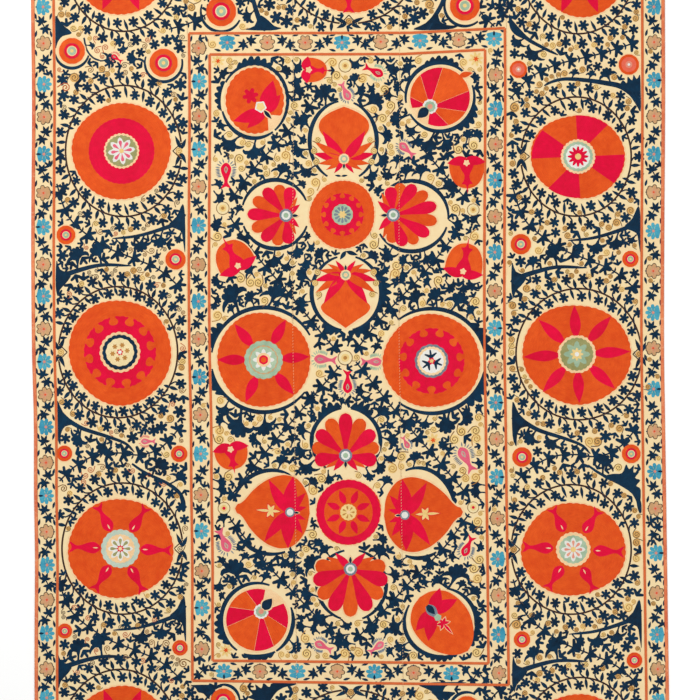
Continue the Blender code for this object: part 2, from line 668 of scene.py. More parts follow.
def fringed_fish(at, turn, length, colour, fringe="slate"):
    """A seed shape with a forked tail, with short stitches standing off it all round."""
    body = shape("fish", length, length * 0.4)
    sew(colour, body, at, turn)
    eye = placed([(length * 0.2, 0)], at, turn)[0]
    pale, inner = shape("leaf", length * 0.28, length * 0.14), shape("leaf", length * 0.2, length * 0.07)
    sew("sage", pale, eye - polar(turn, length * 0.06), turn, 1)
    sew(colour, inner, eye - polar(turn, length * 0.03), turn, 2)
    shares, halves = np.array(PROFILES["fish"][:7]).T
    for i in range(10):
        share = 0.02 + 0.055 * i
        half = 0.2 * length * float(np.interp(share, shares, halves))
        lean = 80 + 90 * max(0, 1 - share / 0.22)
        for side in (1, -1):
            root = placed([(length * share, side * (half + 2.5))], at, turn)[0]
            small_leaf(root, turn + side * lean, length * 0.19, 3.6, fringe)


def dot_rosette(at, radius, dot):
    """A small pale rosette with a thin dark outline and a dot."""
    sew("bronze", scalloped(radius, radius, 10, 0.02), at)
    sew("cream", scalloped(radius * 0.9, radius * 0.9, 10, 0.02), at, 0, 1)
    sew("gold", scalloped(radius * 0.55, radius * 0.55, 10, 0.02), at, 0, 2)
    sew(dot, scalloped(radius * 0.28, radius * 0.28, 8, 0.1), at, 0, 3)


# The rings of a small round flower, as (colour, share of its radius, layer)
ROSETTE_RINGS = [
    ("peach", 1.1, 0), ("orange", 1.0, 1), ("rust", 0.64, 2), ("crimson", 0.6, 3), ("peach", 0.4, 4),
    ("sage", 0.33, 5), ("gold", 0.14, 6),
]
ROSE_RINGS = [
    ("peach", 1.1, 0), ("orange", 1.0, 1), ("coral", 0.74, 2), ("rose", 0.34, 3), ("white", 0.14, 4),
]


def ringed_rosette(at, radius, rings=ROSETTE_RINGS):
    """A small round flower of rings."""
    for colour, share, layer in rings:
        sew_round(colour, at, radius * share, 12, layer)


def rose_rosette(at, radius):
    """A small round flower in the paler reds."""
    ringed_rosette(at, radius, ROSE_RINGS)


# The middles of the large flowers, as (colour, form, reach, number of lobes), from below upwards
MIDDLES = {
    "eight_spokes": [
        ("peach", "scallop", 45, 26), ("olive", "scallop", 40, 24), ("white", "star", 35, 8),
        ("pink", "rays", 28, 8), ("gold", "scallop", 6, 6),
    ],
    "navy_ring": [
        ("peach", "scallop", 52, 20), ("navy", "scallop", 45, 20), ("cream", "scallop", 36, 12),
        ("ochre", "beads", 30, 6), ("crimson", "star", 9, 6), ("white", "scallop", 5, 6),
    ],
    "peach_ring": [
        ("peach", "scallop", 44, 20), ("sage", "scallop", 36, 18), ("white", "star", 31, 8),
        ("rose", "rays", 24, 8), ("gold", "scallop", 7, 6),
    ],
    "grey_ring": [
        ("mist", "scallop", 49, 18), ("peach", "scallop", 37, 22), ("white", "star", 32, 8),
        ("olive", "rays", 27, 8), ("crimson", "star", 10, 8), ("peach", "scallop", 5, 6),
    ],
    "crimson_flower": [
        ("peach", "scallop", 44, 26), ("sage", "scallop", 38, 22), ("white", "scallop", 31, 16),
        ("crimson", "star", 27, 12), ("gold", "scallop", 8, 6),
    ],
    "olive_scrolls": [
        ("peach", "scallop", 49, 22), ("olive", "scallop", 42, 22), ("sage", "star", 34, 8),
        ("gold", "star", 17, 8), ("white", "scallop", 6, 6),
    ],
    "sage_rings": [
        ("sage", "scallop", 49, 18), ("tan", "scallop", 37, 18), ("sage", "scallop", 34, 16),
        ("white", "star", 28, 8), ("peach", "scallop", 18, 12), ("crimson", "scallop", 12, 6),
        ("orange", "scallop", 7.5, 6),
    ],
    "three_trefoils": [
        ("slate", "scallop", 43, 14), ("peach", "scallop", 37, 22), ("white", "scallop", 31, 16),
        ("navy", "hands", 29, 3), ("crimson", "star", 10, 6), ("gold", "star", 6, 5),
    ],
    "sage_cog": [
        ("sage", "scallop", 27, 12), ("slate", "rays", 23, 12), ("gold", "star", 11, 6),
    ],
    "gold_button": [("gold", "scallop", 21, 14), ("ochre", "rays", 17, 7), ("peach", "scallop", 5, 6)],
}


def middle(at, name, layer, turn=0.0):
    """The middle of a large flower, one form on another."""
    for k, (colour, form, reach, lobes) in enumerate(MIDDLES[name]):
        if form == "scallop":
            sew_round(colour, at, reach, lobes, layer + k, 1, 0.05, turn)
        elif form == "star":
            sew(colour, star(reach, lobes, 0.62), at, turn, layer + k)
        else:
            for i in range(lobes):
                form_in_ring(form, colour, at, reach, turn + 360 * i / lobes, layer + k)


def form_in_ring(form, colour, at, reach, turn, layer):
    """One ray, three-fingered leaf or bead of a ring."""
    if form == "rays":
        root = placed([(reach * 0.2, 0)], at, turn)[0]
        sew(colour, shape("club", reach * 0.75, reach * 0.3), root, turn, layer)
    elif form == "hands":
        root = placed([(reach * 0.2, 0)], at, turn + 90)[0]
        sew(colour, hand_leaf(reach * 0.8, 3, 130), root, turn + 90, layer)
    else:
        root = placed([(reach * 0.62, 0)], at, turn)[0]
        sew(colour, star(reach * 0.24, 6, 0.6), root, 0, layer)


# The large round flowers


def drawn_by_hand(outline, at, most=0.021):
    """A round outline with slow swells in its reach, different for each flower."""
    offset = outline - at
    turn = np.arctan2(offset[:, 1], offset[:, 0])
    start = at[0] * 0.7 + at[1] * 0.3
    swell = np.sin(2 * turn + start) + 0.8 * np.sin(3 * turn + 2 * start)
    swell += 0.5 * np.sin(5 * turn + 3 * start)
    return at + offset * (1 + most * swell / 1.4)[:, None]


def round_body(at, radii, lobes=44):
    """The orange disc under a large round flower, with its pale outline."""
    for spare, colour, layer, rings in ((3.5, "peach", 0, 1), (0.0, "orange", 1, 6)):
        rim = placed(scalloped(radii[0] + spare, radii[1] + spare, lobes, 0.014), at)
        silk(colour, at).disc(drawn_by_hand(rim, at), layer, rings, 0.45)


def evenly(first, count):
    """Evenly spaced directions all round, beginning with this one."""
    return [first + 360 * i / count for i in range(count)]


def spokes(at, radii, profile, turns, inner, width, layer=2):
    """Crimson petals of one profile, standing round the middle of a flower and reaching to its rim."""
    for turn in turns:
        direction = polar(turn, 1)
        rim = 1 / math.hypot(direction[0] / radii[0], direction[1] / radii[1])
        sew("crimson", shape(profile, rim * 0.985 - inner, width, 3), at + direction * inner, turn, layer)


def petal_flower(at, radii, turn):
    """A disc with eight crimson petals."""
    round_body(at, radii)
    spokes(at, radii, "almond", evenly(turn, 8), 46, 28)
    middle(at, "olive_scrolls", 2)


def plain_flower(at, radii, turn):
    """A disc with a crimson one on it."""
    round_body(at, radii)
    silk("crimson", at).disc(placed(scalloped(83, 83, 40, 0.015), at), 2, 3, 0.5)
    middle(at, "eight_spokes", 3, turn)


def cog_flower(at, radii, turn, middle_name="navy_ring", cog=91, keys=12):
    """A disc with a crimson one on it that is bitten by orange keys."""
    round_body(at, radii)
    silk("crimson", at).disc(placed(scalloped(cog, cog, keys * 3, 0.02), at), 2, 3, 0.5)
    for angle in evenly(turn, keys):
        root = at + polar(angle, cog * 1.02)
        sew("orange", shape("key", cog * 0.27, cog * 0.255, 3), root, angle + 180, 3)
    middle(at, middle_name, 3, turn)


def fish_flower(at, radii, turn, middle_name="grey_ring"):
    """A disc with six crimson petals whose tips are forked."""
    round_body(at, radii)
    spokes(at, radii, "fish", evenly(turn, 6), 49, 29)
    for i in range(6):
        slit = at + polar(turn + 60 * i, 55)
        sew("peach", shape("leaf", 15, 4), slit, turn + 60 * i, 3)
    middle(at, middle_name, 3)


def peach_fish_flower(at, radii, turn):
    """The same with a peach middle."""
    fish_flower(at, radii, turn, "peach_ring")


def sector_flower(at, radii, turn):
    """A disc cut into eight sectors, orange and crimson by turns."""
    round_body(at, radii)
    for i in range(0, 8, 2):
        first = turn + 45 * i
        rim = arc(at, (radii[0] * 0.985, radii[1] * 0.985), first, first + 43, 4)
        inner = arc(at, (38, 38), first + 43, first, 10)
        silk("crimson", at).patch(np.vstack([rim, inner]), 2, first + 22, uneven())
    middle(at, "crimson_flower", 3)


FLOWER_KINDS = {
    "petals": petal_flower,
    "plain": plain_flower,
    "cog": cog_flower,
    "fish": fish_flower,
    "peach_fish": peach_fish_flower,
    "sectors": sector_flower,
}

# The large border flowers, as (kind, x, y, half width, half height, turn, where the wreath is
# tied, how many florets it has)
BORDER_FLOWERS = [
    ("petals", -572, 978, 122, 122, 22, 0, 21),
    ("plain", -571, 515, 125, 121, 8, 0, 21),
    ("cog", -575, 12, 129, 132, 12, 180, 25),
    ("fish", -574, -479, 131, 126, -2, 0, 23),
    ("petals", -570, -945, 125, 125, 22, 180, 22),
    ("petals", 575, 972, 122, 122, 22, 180, 21),
    ("sectors", 570, 501, 118, 105, 50, 180, 19),
    ("petals", 567, 7, 137, 125, 3, 0, 23),
    ("peach_fish", 558, -481, 130, 118, -3, 180, 22),
    ("petals", 570, -965, 125, 125, 22, 0, 22),
    ("fish", -3, 978, 120, 120, 30, 270, 21),
    ("plain", 2, -977, 120, 120, 0, 90, 21),
]

# How far a border's motifs, and the vine of a wreath, may reach from the middle of their flower
BORDER_REACH = 153.0
VINE_REACH = 164.0
# How far a vine stands off its flower, across the border and along it
VINE_ROOM = (20.0, 44.0)


def ellipse_point(at, radii, turn):
    """The point of an ellipse in one direction."""
    return at + polar(turn, 1) * radii


def kept_in(point, at, sideways):
    """The point, held inside the width of the border that its flower stands in."""
    k = 1 if sideways else 0
    kept = point.copy()
    kept[k] = np.clip(point[k], at[k] - BORDER_REACH, at[k] + BORDER_REACH)
    return kept


def wreath(at, radii, tied, count, sideways=False):
    """The vine round a large flower, with florets, leaves and curls on both sides of it."""
    radii = np.array(radii)
    grown = np.array(VINE_ROOM[::-1] if sideways else VINE_ROOM)
    vine_radii = np.minimum(radii + grown, VINE_REACH)
    middle_of_vine = at + polar(tied, 5)
    sew_line("brown", arc(middle_of_vine, vine_radii, tied + 8, tied + 352, 3), 5)
    inner_row(at, radii, vine_radii, tied, count)
    outer_row(at, middle_of_vine, vine_radii, tied, count + 4, sideways)
    tie_leaves(at, radii, tied)


def inner_row(at, radii, vine_radii, tied, count):
    """Florets between a large flower and its vine, with a leaf and a curl beside each."""
    for i in range(count):
        turn = tied + 360 * (i + 0.5) / count
        gap = gap_at(radii, vine_radii, turn) + 5 * math.cos(math.radians(turn - tied))
        if abs((turn - tied + 180) % 360 - 180) < 18 or gap < 21:
            continue
        spot = ellipse_point(at, radii + gap * 0.5, turn + hand.uniform(-1, 1))
        sew_line("navy", stalk(ellipse_point(at, radii + gap, turn + 6), spot), 4.2, 0, 0.3)
        floret(spot, min(13.4, gap * 0.5))
        step = 360 / count
        small_leaf(ellipse_point(at, radii + gap, turn + 0.6 * step), turn + 204, 0.78 * gap, 8)
        curl_in_room(ellipse_point(at, radii + 12, turn + 0.42 * step), 7.5)
        curl_in_room(ellipse_point(at, radii + gap - 9, turn - 0.36 * step), 6.5)


def outer_row(at, middle_of_vine, vine_radii, tied, count, sideways):
    """Florets outside the vine, wherever the border is wide enough for them."""
    step = 360 / count
    for i in range(count):
        turn = tied + step * (i + 0.5)
        free = ellipse_point(middle_of_vine, vine_radii + 25, turn)
        spot = kept_in(free, at, sideways)
        if np.linalg.norm(free - spot) > 11:
            continue
        sew_line("navy", stalk(ellipse_point(middle_of_vine, vine_radii, turn - 5), spot), 4.2, 0, 0.3)
        floret(spot, 14.0)
        root = ellipse_point(middle_of_vine, vine_radii, turn + 0.45 * step)
        small_leaf(root, turn + 18, 26, 9.5)
        for share, off in ((0.28, 9), (0.7, 10), (0.28, 30), (0.66, 33)):
            curl_in_room(ellipse_point(middle_of_vine, vine_radii + off, turn + share * step), 7.5)


def gap_at(radii, vine_radii, turn):
    """How far the vine stands off the flower in one direction."""
    direction = polar(turn, 1)
    return float(np.hypot(*(direction * vine_radii)) - np.hypot(*(direction * radii)))


def stalk(root, tip):
    """A short curved stalk."""
    root, tip = np.asarray(root), np.asarray(tip)
    across_it = np.array([-(tip - root)[1], (tip - root)[0]])
    return smooth([root, (root + tip) / 2 + 0.22 * across_it, tip], 3)


def tie_leaves(at, radii, tied):
    """The leaves that spring from the place where the vine's ends meet beside the flower."""
    knot = ellipse_point(at, radii + 24, tied)
    foot = ellipse_point(at, radii + 3, tied)
    curl(ellipse_point(at, radii + 19, tied), 9)
    for side in (1, -1):
        sew_line("brown", np.array([foot, ellipse_point(at, radii + 27, tied + side * 8)]), 3.0)
        for lean, length in ((24, 38), (-24, 30)):
            small_leaf(knot + polar(tied + side * 90, 4), tied + side * (90 + lean), length, 10)


# Scrolling leaves and vines between the large flowers


def sprig_vine(points, step=42.0, size=24.0):
    """A dark vine with a pair of small three-lobed leaves at every step."""
    path = smooth(points, 6)
    sew_line("navy", path, 4.4, 0, 0.35)
    count = max(2, round(walked_along(path)[-1] / step))
    spots = along(path, 2 * count + 1)
    for i in range(1, 2 * count, 2):
        ahead = spots[i + 1] - spots[i - 1]
        turn = math.degrees(math.atan2(ahead[1], ahead[0]))
        for side in (1, -1):
            trefoil(spots[i], turn + side * 52 + hand.uniform(-8, 8), size * hand.uniform(0.92, 1.1))
            small_leaf(spots[i] - 0.3 * ahead, turn + side * 118, size * 0.5, 5)


# Shares of the full width over the last steps of a scroll, which ends in a point
SCROLL_TIP = (0.9, 0.7, 0.4)


def scroll(points, first_width, last_width):
    """A dark curved stem of changing width."""
    path = smooth(points, 6)
    widths = np.linspace(first_width, last_width, len(path))
    widths[-len(SCROLL_TIP):] *= SCROLL_TIP
    sew_line("navy", path, widths)


# The ways to fill the space between large flowers. Places are from the middle of the space. Scrolls
# are (points, first width, last width), palmettes (x, y, turn, size) and curls (x, y, radius).
GAPS = {
    "clubs": {
        "scrolls": [
            ([(-91, 50), (-84, 20), (-68, 0), (-48, -8)], 5, 5),
            ([(66, -36), (59, -10), (44, 0)], 5, 5),
        ],
        "wings": [[(-163, 104), (-146, 84), (-121, 62), (-144, 54), (-156, 40), (-163, 24)]],
        "palmettes": [(-52, -8, 32, 40), (-86, 32, 18, 32), (56, -8, 188, 40), (10, 40, -80, 30)],
        "vine": [],
        "curls": [
            (-30, -22, 9), (-18, -36, 8), (22, 14, 9), (0, 22, 8), (-46, -28, 9), (30, -25, 8),
            (-75, -30, 9), (-40, 40, 8), (60, 30, 8), (84, -10, 8),
        ],
    },
    "branches": {
        "scrolls": [
            ([(-166, 112), (-139, 82), (-116, 62), (-79, 42), (-44, 25)], 14, 7),
            ([(161, -87), (116, -55), (74, -45), (24, -38), (-26, -35), (-59, -42), (-79, -52)], 17, 6),
        ],
        "wings": [
            [(-166, 128), (-150, 96), (-130, 76), (-118, 62), (-142, 70), (-158, 82), (-166, 100)],
            [
                (112, -54), (118, -38), (128, -45), (130, -29), (141, -38), (145, -24), (153, -35),
                (161, -24), (163, -60), (163, -116), (150, -98), (136, -78),
            ],
        ],
        "palmettes": [
            (-122, 68, 228, 40), (-76, 40, 226, 50), (88, -46, 112, 50), (31, -38, 84, 28),
            (-11, -35, 86, 28), (-140, -60, 110, 34),
        ],
        "vine": [(-164, -85), (-114, -32), (-44, 2), (61, 28), (156, 58)],
        "curls": [
            (-66, 18, 9), (-25, 31, 9), (-6, 20, 8), (35, 44, 9), (11, -8, 9), (46, -6, 9), (72, 12, 8),
            (50, -26, 7), (106, -36, 9), (-130, -50, 9),
        ],
    },
    "rising": {
        "scrolls": [
            ([(-160, 92), (-135, 80), (-94, 57), (-32, 37), (12, 20), (35, -2)], 15, 6),
            ([(29, -31), (62, -53), (124, -84), (152, -112), (160, -150)], 6, 14),
        ],
        "wings": [
            [(-160, 128), (-143, 98), (-116, 70), (-138, 62), (-148, 44), (-150, 16), (-160, 44)],
            [
                (66, -60), (103, -78), (140, -103), (157, -137), (161, -92), (150, -82), (160, -68),
                (147, -62), (157, -47), (143, -48), (144, -30), (132, -40), (124, -28), (114, -50),
                (90, -52),
            ],
        ],
        "palmettes": [
            (-98, 60, -127, 56), (-34, 39, -130, 48), (8, 24, -118, 24), (66, -56, 62, 52),
        ],
        "vine": [
            (-152, -74), (-124, -46), (-89, -22), (-51, -7), (0, -4), (45, -9), (89, 2), (122, 28),
            (154, 68),
        ],
        "curls": [
            (-112, 34, 9), (-60, 18, 8), (-72, 2, 8), (100, -62, 8), (96, -48, 7), (20, -18, 9),
            (40, -30, 8),
        ],
    },
    "falling": {
        "scrolls": [
            ([(158, 92), (145, 70), (95, 50), (39, 35), (-20, 29)], 15, 6),
            ([(-158, -78), (-148, -66), (-100, -49), (-45, -37), (27, -39)], 18, 7),
        ],
        "wings": [
            [(156, 116), (162, 80), (162, -6), (156, 24), (150, 48), (120, 62), (140, 84)],
            [(-160, -26), (-150, -48), (-124, -60), (-132, -78), (-150, -98), (-156, -116), (-162, -90)],
        ],
        "palmettes": [
            (107, 52, -82, 46), (62, 42, -88, 48), (-12, 29, -22, 46), (152, 44, -112, 42),
            (-108, -50, 113, 56), (-48, -38, 124, 58), (4, -40, 148, 40), (92, 2, -70, 24),
        ],
        "vine": [
            (-159, 166), (-142, 110), (-120, 71), (-78, 35), (-28, 4), (27, -18), (92, -46), (137, -82),
            (150, -104),
        ],
        "curls": [
            (-134, -34, 10), (-84, -24, 9), (-68, -30, 7), (-30, -14, 8), (86, 29, 10), (76, -66, 10),
            (-96, 62, 9),
        ],
    },
}

# In the left border, two palmettes stand on the second scroll in place of the toothed leaf
GAPS["rising_left"] = dict(
    GAPS["rising"],
    wings=GAPS["rising"]["wings"][:1],
    palmettes=GAPS["rising"]["palmettes"][:3] + [(66, -45, 40, 54), (126, -80, 55, 42)],
)

# Where each space is, as (kind, x, y, turn)
GAP_PLACES = [
    ("clubs", -574, 748, 0),
    ("falling", -574, 267, 0),
    ("rising_left", -574, -236, 0),
    ("falling", -572, -712, 0),
    ("branches", 564, 730, 0),
    ("falling", 565, 262, 0),
    ("rising", 566, -240, 0),
    ("falling", 567, -722, 0),
    ("falling", -287, 978, 90),
    ("rising", 287, 978, 90),
    ("rising", -284, -975, 90),
    ("falling", 286, -975, 90),
]


def fill_gap(kind, x, y, turn):
    """One space between large flowers."""
    parts = GAPS[kind]
    for points, first_width, last_width in parts["scrolls"]:
        scroll(placed(points, (x, y), turn), first_width, last_width)
    for points in parts["wings"]:
        wing(placed(points, (x, y), turn), turn)
    for px, py, angle, size in parts["palmettes"]:
        root = placed([(px, py)], (x, y), turn)[0]
        palmette_in_room(root, angle + turn, (size, size * 0.85, size * 0.7))
    if parts["vine"]:
        sprig_vine(placed(parts["vine"], (x, y), turn))
    for px, py, radius in parts["curls"]:
        curl_in_room(placed([(px, py)], (x, y), turn)[0], radius)


def wing(outline, turn=0.0):
    """A broad dark leaf, whose strands slant across it."""
    silk("navy", outline[0]).patch(closed_smooth(outline, 3), 0, turn + 70, uneven())


# Small ringed rosettes of the wide border, as (x, y, radius)
ROSETTES = [
    (-695, 765, 33), (-466, 735, 36), (-710, 305, 24), (-436, 244, 26), (-714, -241, 20),
    (-427, -242, 21), (-713, -685, 19), (-425, -727, 20), (427, 282, 26), (701, 245, 21),
    (430, -250, 25), (703, -242, 24), (430, -706, 21), (711, -758, 20), (-322, 864, 38), (287, 878, 38),
    (-317, -860, 32), (292, -880, 33),
]
ROSE_ROSETTES = [(421, 719, 22), (697, 731, 26)]

# Dark wings beside the rosettes of the near band, each as a closed outline
WINGS = [
    [(-396, -820), (-322, -821), (-342, -838), (-352, -856), (-366, -842), (-380, -838), (-386, -828)],
    [(205, -836), (262, -838), (252, -850), (240, -862), (232, -854), (222, -858), (214, -848)],
]

# Dark arcs that hold some of the rosettes, as (x, y, radius, first and last angle)
ROSETTE_ARCS = [
    (-695, 765, 43, 172, 345), (-466, 735, 47, 160, 372), (-322, 864, 51, 160, 335),
    (287, 878, 51, 150, 310), (-317, -860, 41, 0, 100), (292, -880, 42, 60, 180),
]


def rosette_arc(at, radius, first, last):
    """A dark crescent that holds a rosette."""
    path = arc(at, (radius, radius), first, last)
    sew_line("navy", path, 3 + 6 * np.sin(np.linspace(0.2, 2.8, len(path))))


# Narrow borders


def turquoise_flower(at, turn):
    """A half-round flower of seven petals that opens away from a dark bud."""
    sew("turquoise", hand_leaf(37, 7, 242, 0.68, 0.3, 0.42, ROUND_TIP, 0.28), at - polar(turn, 17), turn)
    for i in range(6):
        angle = turn - 110 + 44 * i
        sew("sage", shape("leaf", 11, 2.4, 1), at + polar(angle, 4), angle, 1)
    sew("rose", star(4.5, 6, 0.6), at, turn, 2)
    small_leaf(at - polar(turn, 20), turn, 15, 7)


def tan_flower(at, turn):
    """A round flower of seven petals with a thin dark outline."""
    sew("umber", hand_leaf(39, 6, 264, 0.74, 0.3, 0.48, ROUND_TIP, 0.3), at - polar(turn, 19), turn)
    sew("tan", hand_leaf(35, 6, 262, 0.66, 0.28, 0.48, ROUND_TIP, 0.26), at - polar(turn, 17), turn, 1)
    for i in range(5):
        angle = turn - 88 + 44 * i
        sew("rose", shape("leaf", 12, 2.2, 1), at + polar(angle, 3), angle, 2)
    sew("rose", star(7, 7, 0.45), at, turn, 2)
    sew("orange", star(3.5, 6, 0.6), at, turn, 3)
    small_leaf(at - polar(turn, 21), turn, 12, 7)


def border_sprig(at, turn):
    """The dark sprig between two flowers of a narrow border, with a leaf in each corner."""
    stem = polar(turn, 19)
    sew_line("navy", np.array([at - stem, at, at + stem]), 3.6, 0, 0.35)
    for end, heading in ((1, turn), (-1, turn + 180)):
        node = at + 0.45 * end * stem
        for lean, length in ((0, 19), (48, 18), (-48, 18), (108, 15), (-108, 15)):
            small_leaf(node, heading + lean, length, 8)


# Each narrow border, as (share across, lean of its flowers, first colour, where its flowers stand)
SIDE_RUNS = [
    (0.0191, 0, "turquoise", [
        875, 784, 682, 600, 507, 410, 325, 231, 152, 70, -12, -94, -175, -264, -347, -437, -520, -607,
        -691, -780, -852,
    ]),
    (0.9828, 180, "turquoise", [
        875, 787, 692, 602, 507, 412, 315, 215, 111, 22, -80, -186, -286, -379, -490, -590, -694, -780,
        -860,
    ]),
    (0.264, 0, "tan", [
        772, 689, 602, 519, 426, 329, 231, 139, 45, -50, -145, -242, -345, -435, -535, -627, -730,
    ]),
    (0.7325, 180, "tan", [
        705, 620, 532, 442, 351, 262, 165, 72, -25, -114, -205, -300, -404, -505, -596, -694, -790,
    ]),
]
END_SPACING = 89.0

# How far from the middle the outer and the inner row of each end lie. The inner one rises to the
# right of the middle, by this share of x at the far end and this share at the near end.
OUTER_ROW = 1178
INNER_ROW = 786
FAR_RISE = 10 / 380
NEAR_RISE = 8 / 380

# Where the flowers of the inner narrow border stand across its two ends
FAR_ROW = [-307, -207, -112, -20, 77, 175, 272, 360]
FAR_KINDS = ["turquoise", "tan", "tan", "turquoise", "tan", "turquoise", "tan", "turquoise"]
NEAR_ROW = [-315, -225, -132, -32, 61, 159, 254]

# Sprigs that turn the corners of the inner narrow border, as (x, y, turn)
CORNER_SPRIGS = [(-372, -788, 45), (312, -799, 60), (367, 748, 80)]


def by_turns(first, count):
    """Two kinds of flower by turns, beginning with this one."""
    second = "tan" if first == "turquoise" else "turquoise"
    return [second if i % 2 else first for i in range(count)]


def flower_row(spots, kinds, lean):
    """Flowers of two colours in a row, with a sprig between each and the next."""
    for (spot, turn), kind in zip(spots, kinds):
        spot = np.array(spot)
        if kind == "turquoise":
            turquoise_flower(spot, turn + lean)
        else:
            tan_flower(spot, turn + lean + 180)
        for corner in (35, 145, 215, 325):
            root = spot + polar(corner + turn, 26)
            small_leaf(root, corner + turn + (70 if corner % 180 < 90 else -70), 19, 7)
    for i, ((low, turn), (high, _)) in enumerate(zip(spots, spots[1:])):
        border_sprig((np.array(low) + np.array(high)) / 2, turn + (62 if i % 2 else 118))


def side_run(share, lean, first, places):
    """A narrow border that runs along the cover."""
    spots = [((float(across(share, y)), y), 0) for y in places]
    flower_row(spots, by_turns(first, len(spots)), lean)


def run_past_the_bands(share, lean, first_y, last_y):
    """The same border where it passes the end bands, with evenly spaced flowers."""
    count = max(1, round(abs(last_y - first_y) / END_SPACING))
    side_run(share, lean, "tan", [first_y + (last_y - first_y) * i / count for i in range(count + 1)])


def end_run(y_at, xs, turn, kinds):
    """A narrow border that runs across the cover."""
    flower_row([((x, y_at(x)), turn) for x in xs], kinds, 0)


# Lines that part the borders. A cross line has one height at its left end and one at its right.


def rail(share, first_y, last_y, step=12.0):
    """A line along the cover, at one share of its width."""
    ys = np.linspace(first_y, last_y, max(2, int(abs(last_y - first_y) / step)))
    return np.stack([across(share, ys), ys], 1)


def cross_line(left_share, right_share, left_y, right_y, bow):
    """A line across the cover whose height changes from its left end to its right end."""
    x1, x2 = float(across(left_share, left_y)), float(across(right_share, right_y))
    t = np.linspace(0, 1, int((x2 - x1) / 12))
    rise = np.where(t < 0.7, bow * t / 0.7, bow + (1 - bow) * (t - 0.7) / 0.3)
    return np.stack([x1 + (x2 - x1) * t, left_y + (right_y - left_y) * rise], 1)


def border_line(path):
    """A line of three colours, one on another."""
    sew_line("peach", path, 12, 0, 0.45)
    sew_line("rust", path, 8.6, 1, 0.4)
    sew_line("copper", path, 5.8, 2, 0.5)


# Each frame is (left share, right share, far y at left and right, near y at left and right)
LINE_FRAMES = [
    (0.0357, 0.9643, 1147, 1147, -1147, -1147),
    (0.249, 0.7475, 809, 822, -809, -820),
    (0.281, 0.716, 756, 768, -759, -766),
]


def border_lines():
    """The four sides of each frame of lines."""
    for left, right, far_left, far_right, near_left, near_right in LINE_FRAMES:
        border_line(rail(left, far_left, near_left))
        border_line(rail(right, far_right, near_right))
        border_line(cross_line(left, right, far_left, far_right, 0.1))
        border_line(cross_line(left, right, near_left, near_right, 0.7))


# Flowers of the field


def fan_of_petals(at, heading, reach, count, spread, first, short):
    """Petals of two colours by turns, fanned round a seat. The outermost have a share of the reach."""
    gap = spread / (count - 1)
    width = reach * math.radians(gap) * 0.74
    for i in range(count):
        turn = heading - spread / 2 + gap * i
        off = abs(2 * i / (count - 1) - 1)
        length = reach * (1 - (1 - short) * off**1.25)
        colour = "crimson" if i % 2 == first else "orange"
        sew("peach", shape("club", length + 3, width + 5, 3), at, turn, 0)
        sew(colour, shape("club", length, width, 3), at, turn, 1 if colour == "orange" else 2)


def seat(at, heading, size, colours):
    """The half-round middle of a side flower, and the dark bud that joins it to its stalk."""
    for i, colour in enumerate(colours):
        reach = (23 - 7 * i) * size
        sew(colour, scalloped(reach, reach, 12, 0.06), at, heading, 3 + i)
    bud = at - polar(heading, 20 * size)
    sew("peach", shape("leaf", 27 * size, 15 * size), bud, heading + 180, 3)
    sew("navy", shape("leaf", 23 * size, 11 * size), bud, heading + 180, 4)


def side_shell(at, heading, reach, count, spread, first, short):
    """A half-round flower of petals that leans on a round one."""
    fan_of_petals(at, heading, reach, count, spread, first, short)
    for side in (1, -1):
        for k, colour in enumerate(("orange", "crimson")):
            turn = heading + side * (spread / 2 + 22 + 20 * k)
            sew(colour, shape("leaf", reach * (0.56 - 0.1 * k), reach * 0.16), at, turn, 1 + k)
    seat(at, heading, 0.74, ("slate", "white", "sage"))


# Narrow petals of a lily on each side, as (turn from its heading, share of its reach, width, colour)
LILY_PETALS = [
    (38, 0.68, 26, "crimson"), (60, 0.66, 21, "orange"), (80, 0.6, 22, "crimson"),
    (101, 0.5, 17, "orange"), (122, 0.4, 13, "orange"), (146, 0.33, 13, "crimson"),
]


def lily(at, heading, reach, width, body):
    """A flower with one broad pointed petal and narrow ones curling off on both sides."""
    sew("peach", shape(body, reach * 1.04, width * 1.07, 5), at, heading, 0)
    sew("orange", shape(body, reach, width, 5), at, heading, 1)
    for turn, share, broad, colour in LILY_PETALS:
        for side in (1, -1):
            petal = curved(shape("almond", reach * share, broad, 3), reach * share, -0.12 * side)
            sew(colour, petal, at, heading + side * (turn + 6), 2)
    for turn, share in ((54, 0.62), (75, 0.59), (96, 0.53)):
        for side in (1, -1):
            spot = at + polar(heading + side * turn, reach * share)
            curl(spot, 8.0, heading + side * 60, 3)
    seat(at, heading, 0.6, ("peach", "sage", "peach"))


# Crimson petals of a pod on each side, as (turn from its heading, length, width), in mm
POD_PETALS = [(44, 98, 30), (82, 90, 36), (116, 62, 22), (150, 44, 15)]


def pod(at, heading, reach, width):
    """A large pointed flower with crimson petals that curl back on both sides of its seat."""
    sew("peach", shape("pod", reach * 1.03, width * 1.05, 6), at, heading, 0)
    sew("orange", shape("pod", reach, width, 6), at, heading, 1)
    for turn, length, broad in POD_PETALS:
        for side in (1, -1):
            petal = curved(shape("almond", length, broad, 4), length, 0.16 * side)
            sew("crimson", petal, at, heading + side * turn, 2)
    long_cross(at + polar(heading, reach * 0.35), heading, 1.25, "crimson", "gold")
    seat(at, heading, 0.55, ("slate", "white", "white"))


# Points of a long cross, as (turn from its heading, length, width)
CROSS_POINTS = [(0, 30, 6), (62, 15, 7), (-62, 15, 7), (118, 14, 7), (-118, 14, 7), (180, 20, 6)]


def long_cross(at, heading, size, rim, inside):
    """A flower of four small petals, with a long point before it and one behind."""
    for colour, spare, layer in ((rim, 2.6, 2), (inside, 0.0, 3)):
        for turn, length, width in CROSS_POINTS:
            leaf = shape("leaf", length * size + spare, width * size + spare)
            sew(colour, leaf, at, heading + turn, layer)


